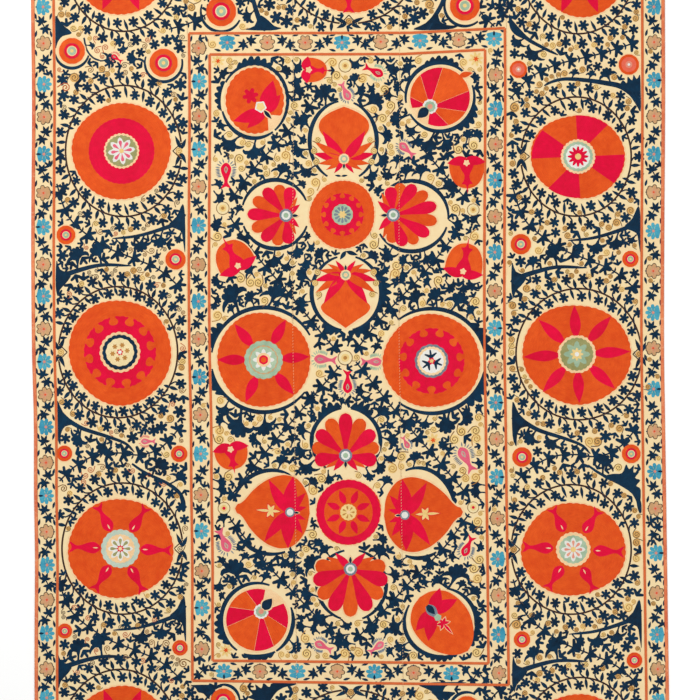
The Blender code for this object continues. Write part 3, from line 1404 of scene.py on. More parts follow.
def pointed_fruit(at, heading, reach, width, petals):
    """A round fruit with a point, and crimson petals that spring from its seat."""
    sew("peach", shape("egg", reach * 1.03, width * 1.05, 6), at, heading, 0)
    sew("orange", shape("egg", reach, width, 6), at, heading, 1)
    for turn, length, broad in petals:
        sew("crimson", shape("almond", length, broad, 4), at, turn, 2)
    long_cross(at + polar(heading, reach * 0.3), heading, 1.2, "peach", "crimson")
    cup = at - polar(heading, 20)
    sew("slate", shape("almond", 42, 26, 3), cup, heading, 3)
    sew("navy", shape("almond", 30, 17, 3), cup, heading, 4)
    sew("sage", star(10, 5, 0.8), at + polar(heading, 20), heading, 4)


def bitten(at, radii, base, heading, half_gap, lobes):
    """A round outline with a notch cut into it, from the rim to its base."""
    rim = placed(scalloped(radii[0], radii[1], lobes, 0.03), at)
    offset = rim - at
    turned = np.degrees(np.arctan2(offset[:, 1], offset[:, 0])) - heading
    turned = (turned + 360) % 360 - 180
    order = np.argsort(turned)
    kept = order[np.abs(turned[order]) > half_gap]
    before = kept[turned[kept] > 0]
    after = kept[turned[kept] < 0]
    return np.vstack([rim[before], rim[after], base])


def pale_rim(at, radii):
    """The peach rim under a round fruit."""
    silk("peach", at).disc(placed(scalloped(radii[0] + 5, radii[1] + 5, 30, 0.02), at), 0, 1, 0.5)


def pomegranate(at, radii, base, heading, petals):
    """A round fruit notched at its stalk, with crimson petals and a small floret."""
    pale_rim(at, radii)
    silk("orange", at).disc(bitten(at, radii, base, heading, 16, 26), 1, 3, 0.5)
    for turn, length, width in petals:
        sew("crimson", shape("almond", length, width, 4), base + polar(heading, 9), turn, 2)
    sew("crimson", star(21, 6, 0.55, 0.26), at + polar(heading, 16), 12, 2)
    sew("white", star(16, 5, 0.8), base + polar(heading, 26), heading, 3)
    sew("gold", star(12, 5, 0.8), base + polar(heading, 26), heading, 4)
    sew("peach", shape("leaf", 34, 15), base + polar(heading, 16), heading + 180, 3)
    sew("navy", shape("leaf", 30, 10), base + polar(heading, 14), heading + 180, 4)


def wedge_fruit(at, radii, base, opening, bounds):
    """A round fruit cut into orange and crimson wedges, with a gap where its bud is."""
    pale_rim(at, radii)
    base = np.array(base, float)
    for i, (first, last) in enumerate(zip(bounds, bounds[1:])):
        rim = [rim_point(at, radii, base, turn) for turn in np.linspace(first, last, 6)]
        wedge = np.vstack([rim, base])
        silk("orange" if i % 2 else "crimson", at).patch(wedge, 1, (first + last) / 2, uneven())
    sew("white", scalloped(19, 19, 12, 0.08), base, 0, 2)
    sew("sage", scalloped(14, 14, 10, 0.08), base, 0, 3)
    sew("rose", scalloped(7, 7, 8, 0.08), base, 0, 4)
    bud = base + polar(opening, 6)
    sew("peach", shape("almond", 41, 32, 3), bud, opening, 3)
    sew("navy", shape("almond", 35, 25, 3), bud + polar(opening, 2), opening, 4)


def rim_point(at, radii, base, turn):
    """Where the line from the base in one direction meets the rim."""
    direction = polar(turn, 1) / radii
    start = (base - at) / radii
    a, b, c = direction @ direction, 2 * direction @ start, start @ start - 1
    return base + polar(turn, (-b + math.sqrt(b * b - 4 * a * c)) / (2 * a))


def tulip(at, heading, length, width):
    """A small bell-shaped flower with a crimson flame up its middle and two lobes at its foot."""
    sew("peach", shape("bell", length * 0.98, width * 1.08, 4), at - polar(heading, 2), heading, 0)
    sew("orange", shape("bell", length * 0.92, width, 4), at, heading, 1)
    for side in (1, -1):
        sew("crimson", shape("almond", width * 0.56, 24, 4), at, heading + side * 80, 2)
    sew("crimson", shape("flame", length * 1.08, width * 0.44, 4), at, heading, 2)
    sew("peach", star(9, 5, 0.7), at + polar(heading, 9), heading, 3)


# Usual width of the dark leaves along the rim of a field flower
COLLAR_WIDTH = 10.0


def collar(at, half_width, half_height, arcs, palmettes, combs):
    """Dark leaves round a field flower: arcs along its rim, palmettes off them, and toothed leaves."""
    radii = np.array([half_width, half_height])
    ground.cover(arc(at, radii, 0, 350, 10))
    for first, last in arcs:
        path = arc(at, radii, first, last, 5)
        thick = COLLAR_WIDTH * (0.4 + 0.8 * np.sin(np.linspace(0.15, math.pi - 0.15, len(path))))
        sew_line("navy", path, thick)
    for first, last, depth in combs:
        path = arc(at, radii + 1, last, first, 4)
        leaf = comb(path[::-1], -depth, max(4, int(abs(last - first) / 9)))
        silk("navy", at).patch(leaf, 0, first, uneven())
    for turn, size in palmettes:
        root = ellipse_point(at, radii, turn)
        palmette_in_room(root, turn + hand.uniform(-25, 25), (size * 1.1, size * 0.9, size * 0.7, 24))


# How far apart more palmettes are tried along a collar
SPROUT_SPACING = 30.0


def sprout(at, half_width, half_height, arcs):
    """More palmettes along the arcs of a collar, wherever there is room for one."""
    radii = np.array([half_width, half_height])
    for first, last in arcs:
        count = max(2, int(math.radians(last - first) * (half_width + half_height) / 2 / SPROUT_SPACING))
        for i in range(count + 1):
            turn = first + (last - first) * i / count
            root = ellipse_point(at, radii + 1, turn)
            lean = 35 if i % 2 else -35
            bend = 0.3 if i % 2 else -0.3
            palmette_in_room(root, turn + lean, (50, 42, 34, 27), (bend, -bend))


# Round flowers of the field, as (x, y, half width, half height, kind)
FIELD_ROUNDS = [
    (-19, 356, 83, 85, "cog"),
    (-216, -7, 118, 117, "six_petals"),
    (204, -10, 121, 119, "cog_large"),
    (-4, -388, 81, 82, "ringed"),
]


def field_round(at, half_width, half_height, kind):
    """One round flower of the field."""
    radii = (half_width, half_height)
    if kind == "cog":
        cog_flower(at, radii, 0, "sage_cog", 54, 12)
    elif kind == "cog_large":
        cog_flower(at, radii, 8, "three_trefoils", 83, 11)
    elif kind == "six_petals":
        round_body(at, radii)
        spokes(at, radii, "almond", [4, 61, 129, 180, 247, 311], 47, 27)
        middle(at, "sage_rings", 3)
    else:
        round_body(at, radii)
        silk("crimson", at).disc(placed(scalloped(half_width, half_height, 34, 0.02), at), 2, 2, 0.5)
        silk("orange", at).disc(placed(scalloped(61, 62, 34, 0.01), at), 3, 2, 0.5)
        spokes(at, (60, 61), "almond", evenly(22, 8), 24, 17, 4)
        middle(at, "gold_button", 4)


# Lilies, as (x, y, heading, reach, width, profile of the broad petal)
LILIES = [(-15, 495, 90, 131, 126, "dome"), (-11, 205, -90, 133, 124, "shield")]

# Half-round flowers, as (x, y, heading, reach, petals, spread, which of the first two petals is
# crimson, the share of the reach that the outermost have)
SIDE_SHELLS = [
    (-160, 354, 178, 97, 9, 196, 0, 0.74),
    (108, 355, 2, 114, 10, 188, 1, 0.62),
    (-11, -246, 90, 106, 9, 200, 0, 0.74),
    (1, -530, -90, 120, 9, 190, 1, 0.74),
]

# Pods, as (x, y, heading, reach, width)
PODS = [(-150, -388, 176, 138, 184), (137, -395, 3, 146, 188)]

# Wedge fruits, as (x, y, half width and half height, foot of the wedges, direction of the bud,
# directions of their edges)
WEDGE_FRUITS = [
    (225, 650, (75, 74), (200, 626), 222, [263, 315, 352, 382, 432, 467, 514, 545]),
    (-232, -657, (78, 78), (-222, -636), 50, [79, 127, 172, 204, 260, 290, 327, 380]),
]


# Dark leaves round each field flower, as (x, y, half width, half height, arcs, palmettes, combs)
COLLARS = [
    (-239, 640, 83, 93, [(-52, 150), (196, 304)], [(14, 40), (52, 36), (222, 30), (247, 50), (273, 48)],
     [(62, 122, 20), (150, 196, 18)]),
    (225, 650, 86, 86, [(-150, 20), (40, 190)], [(-98, 50), (-128, 34), (150, 38), (175, 34)],
     [(60, 118, 18), (-60, -10, 22)]),
    (-17, 540, 84, 100, [(-62, 72), (98, 242)],
     [(165, 40), (192, 42), (217, 40), (15, 40), (-12, 42), (-37, 36), (58, 52), (122, 50)], []),
    (-187, 357, 84, 86, [(24, 165), (200, 340)],
     [(145, 32), (88, 42), (55, 42), (270, 42), (-48, 42), (222, 30)], []),
    (154, 352, 92, 88, [(-150, -18), (-5, 150)],
     [(102, 40), (78, 40), (50, 50), (25, 44), (-5, 36), (-120, 38), (-70, 34)], []),
    (-9, 160, 87, 93, [(-80, 75), (105, 262)], [(130, 38), (165, 44), (192, 38), (62, 36)],
     [(-28, 44, 26), (232, 262, 22), (-86, -48, 24)]),
    (-216, -7, 131, 131, [(28, 172), (190, 322)],
     [(118, 66), (86, 58), (245, 66), (272, 52), (-38, 30), (40, 30)],
     [(140, 168, 24), (192, 222, 24)]),
    (204, -10, 134, 131, [(12, 128), (232, 352)], [(104, 44), (70, 52), (-70, 52), (-108, 44), (128, 28)],
     [(10, 46, 26), (-50, -16, 30)]),
    (-10, -210, 86, 82, [(-55, 82), (98, 235)], [(42, 44), (8, 42), (-30, 38), (168, 38), (196, 42)],
     [(100, 142, 24), (48, 84, 28)]),
    (-196, -388, 99, 105, [(60, 165), (205, 290)],
     [(82, 38), (120, 28), (262, 38), (285, 34), (232, 26)], []),
    (170, -390, 92, 113, [(8, 110), (250, 300)], [(98, 38), (254, 36), (285, 30)], [(12, 66, 14)]),
    (4, -570, 86, 88, [(-72, 78), (102, 252)],
     [(165, 50), (200, 42), (238, 46), (20, 44), (-15, 36), (-62, 42), (128, 34), (52, 34)], []),
    (-232, -657, 90, 92, [(-58, 20), (70, 236), (248, 300)], [(114, 64), (84, 48), (150, 38), (-30, 38)],
     [(172, 222, 20), (246, 298, 14)]),
    (226, -663, 90, 86, [(-58, 80), (150, 303)], [(78, 60), (48, 60), (214, 38), (240, 34)],
     [(-48, 30, 18), (246, 300, 14)]),
]

# Dark vines with sprigs that cross the field
FIELD_VINES = [
    [(-62, 680), (-127, 595), (-232, 480), (-300, 390)],
    [(-302, 352), (-235, 255), (-152, 158), (-55, 40), (-25, 12)],
    [(148, 560), (212, 485), (272, 415), (300, 388)],
    [(280, 328), (190, 215), (128, 150), (62, 78), (12, 12)],
    [(15, -12), (78, -92), (130, -155), (208, -245), (298, -350)],
    [(-25, -22), (-80, -85), (-172, -192), (-255, -292), (-305, -358)],
    [(-300, -405), (-220, -505), (-148, -582), (-85, -648), (-40, -695)],
    [(298, -392), (232, -480), (148, -565), (80, -640), (10, -710)],
]

# Fringed seed shapes, as (x, y, turn, length, colour, fringe), from the head to the tail
FISHES = [
    (-310, 486, -90, 66, "crimson", "slate"),
    (124, 535, -43, 50, "pink", "slate"),
    (-90, -4, -5, 58, "pink", "sage"),
    (80, -12, 180, 54, "pink", "sage"),
    (-6, -91, 90, 60, "crimson", "slate"),
    (147, -228, 118, 34, "pink", "slate"),
    (275, -226, -62, 70, "pink", "slate"),
    (-302, -487, 115, 64, "pink", "slate"),
    (283, -498, 65, 56, "crimson", "slate"),
    (-88, -713, -26, 50, "pink", "slate"),
    (84, -713, 217, 46, "pink", "slate"),
    (-523, -211, 0, 38, "pink", "rose"),
    (-596, 755, -34, 32, "crimson", "rose"),
    (-1, 642, 116, 50, "pink", "slate"),
    (83, 704, 155, 54, "crimson", "sage"),
]

# Pale ringed rosettes of the field, as (x, y, radius, colour of the dot)
DOT_ROSETTES = [
    (-12, 728, 17, "ochre"), (-318, 372, 17, "ochre"), (308, 368, 16, "ochre"), (-12, -2, 19, "ochre"),
    (308, -376, 15, "crimson"), (-315, -378, 16, "crimson"),
]

# Gold curls that show well, as (x, y, radius)
CURLS = [
    (-245, 560, 14), (-213, 543, 11), (-100, 600, 12), (-8, 32, 15), (-8, -35, 9), (-60, -90, 11),
    (-90, -130, 10), (18, -30, 8), (192, 590, 14), (150, 575, 10), (-222, 150, 13), (-158, 160, 10),
    (-60, 250, 10), (52, 255, 10), (118, 240, 11), (-215, -170, 13), (-262, -180, 12), (-160, -170, 11),
    (160, -150, 11), (210, -165, 12), (262, -155, 11), (-120, -290, 12), (-180, -245, 12),
    (-252, -335, 11), (105, -300, 13), (-110, -480, 10), (118, -480, 10), (-60, -525, 9), (75, -520, 9),
    (-168, -545, 12), (-260, -560, 13), (170, -600, 12), (250, -560, 13), (-120, -640, 11),
    (120, -655, 10), (-300, -720, 14), (310, -700, 10), (-290, 690, 11),
]

# Petals of the pomegranate, as (direction, length, width)
FRUIT_PETALS = [(76, 82, 42), (48, 58, 30), (196, 84, 34), (222, 62, 24)]

# Petals of the pointed fruit, as (direction, length, width)
FRUIT_SPRINGS = [(72, 62, 32), (26, 70, 32), (229, 64, 32), (262, 76, 34)]

# Small bell-shaped flowers beside the frame, as (x, y, heading, length, width)
TULIPS = [
    (-276, 220, 118, 84, 96),
    (-300, -222, -80, 66, 84),
    (291, 494, -88, 80, 88),
    (281, 205, 80, 88, 94),
    (-112, 718, -2, 60, 62),
]

# Small dark leaves beside the stalks of the field, as (x, y, turn, length, width)
FIELD_LEAVES = [
    (-10, 265, 235, 27, 11), (-10, 264, -17, 32, 11), (-22, 452, 8, 17, 6), (-22, 452, 172, 17, 6),
]

# Small gold flowers of the field, as (x, y, radius)
GOLD_STARS = [(-330, 740, 17), (315, 745, 19), (208, -208, 18), (-310, -733, 17)]


def gold_star(at, reach):
    """A gold flower of eight points."""
    sew("gold", star(reach, 8, 0.5), at, 10)
    sew("orange", star(reach * 0.4, 6, 0.5), at, 10, 1)


def field():
    """All of the field, flowers first and then what fills the cloth between them."""
    sew_each(field_round, FIELD_ROUNDS)
    sew_each(collar, COLLARS)
    sew_each(lily, LILIES)
    sew_each(side_shell, SIDE_SHELLS)
    sew_each(pod, PODS)
    pointed_fruit(np.array([206.0, -636]), -48, 133, 140, FRUIT_SPRINGS)
    pomegranate(np.array([-238.0, 641]), (74, 84), np.array([-206.0, 606]), 132, FRUIT_PETALS)
    sew_each(wedge_fruit, WEDGE_FRUITS)
    fruit_tip = (272, 702)
    sew("peach", shape("leaf", 40, 22), fruit_tip, 14, 1)
    sew("orange", shape("leaf", 36, 15), fruit_tip, 14, 2)
    sew_each(small_leaf, FIELD_LEAVES)
    sew_each(tulip, TULIPS)
    sew_each(gold_star, GOLD_STARS)
    for vine in FIELD_VINES:
        sprig_vine(vine)
    sew_each(fringed_fish, FISHES)
    sew_each(dot_rosette, DOT_ROSETTES)
    sew_each(sprout, [row[:5] for row in COLLARS])
    sew_each(curl_in_room, CURLS)


def wide_border():
    """All of the wide border: its flowers, their wreaths, the rosettes and the spaces between them."""
    for kind, x, y, half_width, half_height, turn, *_ in BORDER_FLOWERS:
        FLOWER_KINDS[kind](np.array([x, y], float), (half_width, half_height), turn)
    for _, x, y, half_width, half_height, _, tied, count in BORDER_FLOWERS:
        in_an_end_band = abs(x) < 100
        wreath(np.array([x, y], float), (half_width, half_height), tied, count, in_an_end_band)
    sew_each(ringed_rosette, ROSETTES)
    sew_each(rose_rosette, ROSE_ROSETTES)
    sew_each(rosette_arc, ROSETTE_ARCS)
    for outline in WINGS:
        wing(outline)
    for row in GAP_PLACES:
        fill_gap(*row)


def narrow_borders():
    """All of the narrow borders."""
    for row in SIDE_RUNS:
        side_run(*row)
    for share, lean, *_ in SIDE_RUNS[:2]:
        run_past_the_bands(share, lean, 960, 1170)
        run_past_the_bands(share, lean, -940, -1170)
    sew_each(border_sprig, CORNER_SPRIGS)
    outer = [-680 + 90 * i for i in range(16)]
    outer_kinds = by_turns("turquoise", len(outer))
    end_run(lambda x: OUTER_ROW, outer, 270, outer_kinds)
    end_run(lambda x: -OUTER_ROW, outer, 90, outer_kinds)
    end_run(lambda x: INNER_ROW + FAR_RISE * max(0, x), FAR_ROW, 270, FAR_KINDS)
    near_kinds = by_turns("turquoise", len(NEAR_ROW))
    end_run(lambda x: -INNER_ROW - NEAR_RISE * max(0, x), NEAR_ROW, 90, near_kinds)


# Bare ground


def keep_bare(left_share, right_share, first_y, last_y):
    """Marks a plain strip of cloth, so that nothing more is sewn there."""
    left = rail(left_share, first_y, last_y, 40)
    right = rail(right_share, last_y, first_y, 40)
    ground.cover(np.vstack([left, right]))


def fill_bare_ground():
    """Sews small leaves and curls wherever there is still room between the motifs."""
    keep_bare(-0.02, 0.004, 1215, -1215)
    keep_bare(0.996, 1.02, 1215, -1215)
    keep_bare(0.244, 0.2495, 812, -812)
    keep_bare(0.747, 0.7525, 822, -822)
    for y in (1207, -1207):
        ground.cover(np.array([(-820, y - 8), (820, y - 8), (820, y + 12), (-820, y + 12)], float))
    for wanted, make in ((6, fill_large), (5, fill_large), (4, fill_small), (3, fill_small)):
        room = ground.room(wanted)
        spots = np.argwhere(room >= wanted)
        order = list(range(len(spots)))
        hand.shuffle(order)
        taken = np.zeros_like(ground.covered)
        for k in order:
            row, column = spots[k]
            if taken[row, column]:
                continue
            reach = wanted + 1
            top, left = max(0, row - reach), max(0, column - reach)
            taken[top : row + reach + 1, left : column + reach + 1] = True
            make(np.array(ground.middle(row, column)), wanted)


def fill_large(at, room):
    """A curl, a palmette or a floret in a large bare place."""
    turn = hand.uniform(0, 360)
    if hand.random() < 0.38:
        curl(at, room * 2.05)
    elif region_of(at) == "field":
        palmette(at - polar(turn, room * 3.0), turn, room * 6.1, 0.2)
    else:
        floret(at, room * 2.65)


def fill_small(at, room):
    """A curl or a small leaf in a small bare place."""
    if hand.random() < 0.45:
        curl(at, room * 2.15)
    else:
        turn = hand.uniform(0, 360)
        trefoil(at - polar(turn, room * 2.8), turn, room * 5.8)


# Materials


def channel(value):
    """One channel of a display colour as the amount of light that it stands for."""
    value = value / 255
    return value / 12.92 if value <= 0.04045 else ((value + 0.055) / 1.055) ** 2.4


def paint(red, green, blue):
    """A display colour, from 0 to 255, as a shader takes it."""
    return (channel(red), channel(green), channel(blue), 1.0)


# Silk colours, each as its darker and its lighter dye
SILKS = {
    "orange": ((218, 66, 14), (243, 100, 30)),
    "crimson": ((212, 0, 44), (244, 0, 66)),
    "navy": ((2, 22, 40), (0, 54, 84)),
    "coral": ((222, 84, 60), (242, 118, 92)),
    "brown": ((44, 26, 26), (74, 46, 34)),
    "turquoise": ((38, 130, 165), (92, 190, 208)),
    "tan": ((196, 150, 104), (226, 180, 130)),
    "umber": ((84, 66, 50), (120, 98, 72)),
    "gold": ((238, 198, 118), (246, 216, 148)),
    "ochre": ((176, 118, 50), (208, 152, 80)),
    "peach": ((244, 196, 140), (252, 222, 176)),
    "cream": ((240, 216, 160), (250, 232, 184)),
    "sage": ((140, 170, 140), (190, 210, 178)),
    "mist": ((176, 196, 178), (212, 222, 202)),
    "olive": ((140, 138, 84), (176, 172, 116)),
    "slate": ((96, 110, 126), (140, 150, 158)),
    "white": ((226, 224, 214), (246, 244, 236)),
    "pink": ((222, 78, 110), (240, 118, 138)),
    "rose": ((222, 130, 110), (240, 168, 140)),
    "rust": ((176, 74, 36), (212, 110, 60)),
    "copper": ((206, 92, 44), (230, 118, 66)),
    "honey": ((206, 150, 76), (234, 184, 110)),
    "bronze": ((112, 74, 36), (160, 112, 60)),
}

# Threads, in metres. One tie holds down a length of a strand of silk.
STRAND_WIDTH = 0.0011
TIE_SPACING = 0.0052
GROOVE = 0.00022
WARP_SPACING = 0.0009
WEFT_SPACING = 0.0011
TAPE_RIB = 0.0012


class Nodes:
    """A short way to add and link the nodes of one material."""

    def __init__(self, name):
        self.material = bpy.data.materials.new(name)
        self.material.use_nodes = True
        self.tree = self.material.node_tree
        self.shader = self.tree.nodes["Principled BSDF"]

    def add(self, kind, **settings):
        """A new node, with its settings."""
        node = self.tree.nodes.new(kind)
        for key, value in settings.items():
            setattr(node, key, value)
        return node

    def put(self, socket, value):
        """Links a socket to another, or gives it a plain value."""
        if isinstance(value, bpy.types.NodeSocket):
            self.tree.links.new(value, socket)
        else:
            socket.default_value = value

    def set(self, **values):
        """Plain values of the shader's own sockets, named with _ for a space."""
        for name, value in values.items():
            self.shader.inputs[name.replace("_", " ")].default_value = value

    def math(self, operation, first, second=0.0):
        """One operation on one or two values."""
        node = self.add("ShaderNodeMath", operation=operation)
        self.put(node.inputs[0], first)
        self.put(node.inputs[1], second)
        return node.outputs[0]

    def noise(self, vector, scale, detail):
        """Soft noise, from 0 to 1. A larger scale makes finer spots."""
        node = self.add("ShaderNodeTexNoise")
        self.put(node.inputs["Vector"], vector)
        node.inputs["Scale"].default_value = scale
        node.inputs["Detail"].default_value = detail
        return node.outputs["Fac"]

    def spread(self, value, low, high, new_low=0.0, new_high=1.0):
        """Stretches values between low and high to the new limits."""
        node = self.add("ShaderNodeMapRange")
        self.put(node.inputs["Value"], value)
        for name, number in (
            ("From Min", low), ("From Max", high), ("To Min", new_low), ("To Max", new_high),
        ):
            node.inputs[name].default_value = number
        return node.outputs[0]

    def waves(self, length_along, spacing):
        """Even ridges across a distance, this far apart."""
        return self.math("SINE", self.math("MULTIPLY", length_along, 2 * math.pi / spacing))

    def mix(self, share, first, second):
        """The first colour turning into the second."""
        node = self.add("ShaderNodeMix", data_type="RGBA", blend_type="MIX")
        self.put(node.inputs[0], share)
        self.put(node.inputs[6], first)
        self.put(node.inputs[7], second)
        return node.outputs[2]

    def scaled(self, vector, scale):
        """A place with each direction stretched by its own number."""
        node = self.add("ShaderNodeVectorMath", operation="MULTIPLY")
        self.put(node.inputs[0], vector)
        node.inputs[1].default_value = scale
        return node.outputs[0]

    def grooves(self, strands):
        """The grooves between strands, and the ties that hold each one down, as in brickwork."""
        node = self.add("ShaderNodeTexBrick", offset=0.5)
        self.put(node.inputs["Vector"], strands)
        for name, number in (
            ("Scale", 1.0), ("Mortar Size", GROOVE), ("Mortar Smooth", 1.0),
            ("Brick Width", TIE_SPACING), ("Row Height", STRAND_WIDTH),
        ):
            node.inputs[name].default_value = number
        return node.outputs["Fac"]

    def bump(self, height, distance, strength):
        """A surface direction from heights, for relief that has no mesh of its own."""
        node = self.add("ShaderNodeBump")
        self.put(node.inputs["Height"], height)
        node.inputs["Distance"].default_value = distance
        node.inputs["Strength"].default_value = strength
        return node.outputs["Normal"]


def silk_material(name, dark, light):
    """Silk laid in parallel strands and tied down, with uneven dye, painted shade in the grooves between
    strands and at the ties, a soft sheen and a little wear.
    """
    nodes = Nodes(f"{name}_silk")
    place = nodes.add("ShaderNodeTexCoord").outputs["Object"]
    strands = nodes.add("ShaderNodeUVMap", uv_map="strands").outputs["UV"]
    dye = nodes.add("ShaderNodeAttribute", attribute_name="shade").outputs["Fac"]
    grooves = nodes.grooves(strands)
    streaks = nodes.noise(nodes.scaled(strands, (70.0, 900.0, 1.0)), 1.0, 3.0)
    vats = nodes.noise(place, 14.0, 3.0)
    patches = nodes.noise(place, 55.0, 2.0)
    tone = nodes.math("ADD", nodes.math("MULTIPLY", dye, 0.55), nodes.math("MULTIPLY", vats, 0.45))
    tone = nodes.math("ADD", tone, nodes.spread(patches, 0.3, 0.7, -0.16, 0.16))
    tone = nodes.math("ADD", tone, nodes.spread(streaks, 0.3, 0.7, -0.2, 0.2))
    base = nodes.mix(nodes.spread(tone, 0.1, 0.95), paint(*dark), paint(*light))
    # Painted shade: the grooves between strands and the ties across them are darkened towards a darker
    # copy of the dark dye.
    painted_groove_shade = paint(*[c * 0.62 for c in dark])
    base = nodes.mix(nodes.math("MULTIPLY", grooves, 0.28), base, painted_groove_shade)
    worn = nodes.spread(nodes.noise(place, 420.0, 2.0), 0.66, 0.78, 0.0, 0.26)
    faded = paint(*[c + (235 - c) * 0.22 for c in light])
    nodes.put(nodes.shader.inputs["Base Color"], nodes.mix(worn, base, faded))
    nodes.put(nodes.shader.inputs["Roughness"], nodes.spread(streaks, 0.3, 0.7, 0.46, 0.62))
    height = nodes.math("SUBTRACT", streaks, grooves)
    nodes.put(nodes.shader.inputs["Normal"], nodes.bump(height, 0.0004, 0.8))
    nodes.set(Specular_IOR_Level=0.14, Sheen_Weight=0.03, Sheen_Roughness=0.4)
    return nodes.material


def cotton_material():
    """Hand-woven undyed cotton, yellowed unevenly with age."""
    nodes = Nodes("undyed_cotton")
    place = nodes.add("ShaderNodeTexCoord").outputs["Object"]
    sides = nodes.add("ShaderNodeSeparateXYZ")
    nodes.put(sides.inputs[0], place)
    warp = nodes.waves(sides.outputs["X"], WARP_SPACING)
    weft = nodes.waves(sides.outputs["Y"], WEFT_SPACING)
    weave = nodes.math("MULTIPLY", warp, weft)
    slubs = nodes.noise(nodes.scaled(place, (60.0, 900.0, 1.0)), 1.0, 2.0)
    age = nodes.noise(place, 9.0, 4.0)
    mottle = nodes.noise(place, 60.0, 3.0)
    tone = nodes.math("ADD", nodes.math("MULTIPLY", age, 0.5), nodes.math("MULTIPLY", mottle, 0.5))
    base = nodes.mix(nodes.spread(tone, 0.38, 0.62), paint(233, 212, 165), paint(231, 203, 155))
    base = nodes.mix(nodes.spread(slubs, 0.62, 0.8, 0.0, 0.3), base, paint(222, 182, 132))
    nodes.put(nodes.shader.inputs["Base Color"], base)
    nodes.put(nodes.shader.inputs["Roughness"], nodes.spread(mottle, 0.3, 0.7, 0.78, 0.92))
    height = nodes.math("ADD", nodes.math("MULTIPLY", weave, 0.3), slubs)
    nodes.put(nodes.shader.inputs["Normal"], nodes.bump(height, 0.0003, 0.6))
    nodes.set(Specular_IOR_Level=0.2, Sheen_Weight=0.1)
    return nodes.material


def binding_material():
    """Narrow silk tape, ribbed across, rubbed pale along its fold."""
    nodes = Nodes("binding_tape")
    place = nodes.add("ShaderNodeTexCoord").outputs["Object"]
    strands = nodes.add("ShaderNodeUVMap", uv_map="strands").outputs["UV"]
    sides = nodes.add("ShaderNodeSeparateXYZ")
    nodes.put(sides.inputs[0], strands)
    ribs = nodes.waves(sides.outputs["X"], TAPE_RIB)
    vats = nodes.noise(place, 16.0, 3.0)
    rub = nodes.noise(place, 160.0, 3.0)
    base = nodes.mix(nodes.spread(vats, 0.35, 0.65), paint(206, 92, 44), paint(226, 128, 74))
    base = nodes.mix(nodes.spread(rub, 0.55, 0.75, 0.0, 0.4), base, paint(238, 190, 150))
    nodes.put(nodes.shader.inputs["Base Color"], base)
    nodes.put(nodes.shader.inputs["Roughness"], nodes.spread(rub, 0.3, 0.7, 0.5, 0.7))
    nodes.put(nodes.shader.inputs["Normal"], nodes.bump(ribs, 0.0002, 0.5))
    nodes.set(Sheen_Weight=0.15)
    return nodes.material


# Cloth


def shares_across(first, last, width):
    """Columns of a width of cloth, close together beside its edges and wider apart between them."""
    near = [0.0, 0.8, 2.0, 3.5, 5.5, 8.0]
    between = width - 2 * near[-1]
    count = int(between / COLUMN_SPACING)
    inner = [near[-1] + between * i / count for i in range(1, count)]
    columns = near + inner + [width - x for x in reversed(near)]
    return [first + (last - first) * x / width for x in columns], columns


def edge_drop(distance):
    """How far the top of the cloth rolls down at this distance from a sewn edge."""
    return SEAM_DIP * np.exp(-((distance / (SEAM_REACH / 2)) ** 2))


def pucker(y, distance, first):
    """The small waves that the stitches of a seam draw up in the cloth beside it."""
    return 0.18 * np.sin(y / 4.1 + first * 40) * np.exp(-(distance / 9) ** 2)


def cloth_width(name, first, last, material):
    """One width of cotton, as a closed sheet whose edges roll down into its seams."""
    width = float(across(last, 0) - across(first, 0)) - 2 * SEAM_GAP
    shares, columns = shares_across(first, last, width)
    gap = SEAM_GAP / MIDDLE_WIDTH
    shares = np.clip(shares, first + gap, last - gap)
    half = COVER_LENGTH / 2 - BINDING_WIDTH + 3
    ys = np.linspace(-half, half, CLOTH_STEPS)
    x = np.stack([across(share, ys) for share in shares])
    y = np.broadcast_to(ys, x.shape)
    distance = np.minimum(columns, width - np.array(columns))[:, None]
    top = cloth_top(x, y) - edge_drop(distance) + pucker(y, distance, first)
    under = np.where(distance < 0.5, 0.35, 0.02) + 0.3 * slack(x, y)
    points = np.vstack([np.column_stack([x.ravel(), y.ravel(), z.ravel()]) for z in (top, under)])
    piece = new_piece(f"cotton_{name}", points, sheet_faces(*x.shape), material)
    piece.data.shade_smooth()
    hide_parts(name)


def sheet_faces(rows, steps):
    """The faces of a closed sheet: its top, its underside and its rim."""
    count = rows * steps
    faces = []
    for i in range(rows - 1):
        for j in range(steps - 1):
            a = i * steps + j
            faces.append((a, a + steps, a + steps + 1, a + 1))
            faces.append((count + a + 1, count + a + steps + 1, count + a + steps, count + a))
    rim = [i * steps for i in range(rows)] + [(rows - 1) * steps + j for j in range(1, steps)]
    rim += [i * steps + steps - 1 for i in range(rows - 2, -1, -1)] + list(range(steps - 2, 0, -1))
    for a, b in zip(rim, rim[1:] + rim[:1]):
        faces.append((a, count + a, count + b, b))
    return faces


# The tape's section, as (distance in from the cover's edge, height), from its inner edge on top
TAPE_SECTION = [
    (8.6, 2.05), (6.5, 2.55), (3.5, 2.75), (1.2, 2.5), (0.1, 1.5), (0.9, 0.5), (3.5, 0.12), (8.6, 0.05),
    (8.6, 0.0), (3.5, 0.0), (0.6, 0.1), (-0.2, 1.5), (0.8, 2.95), (3.5, 3.15), (6.5, 2.95), (8.9, 2.5),
]


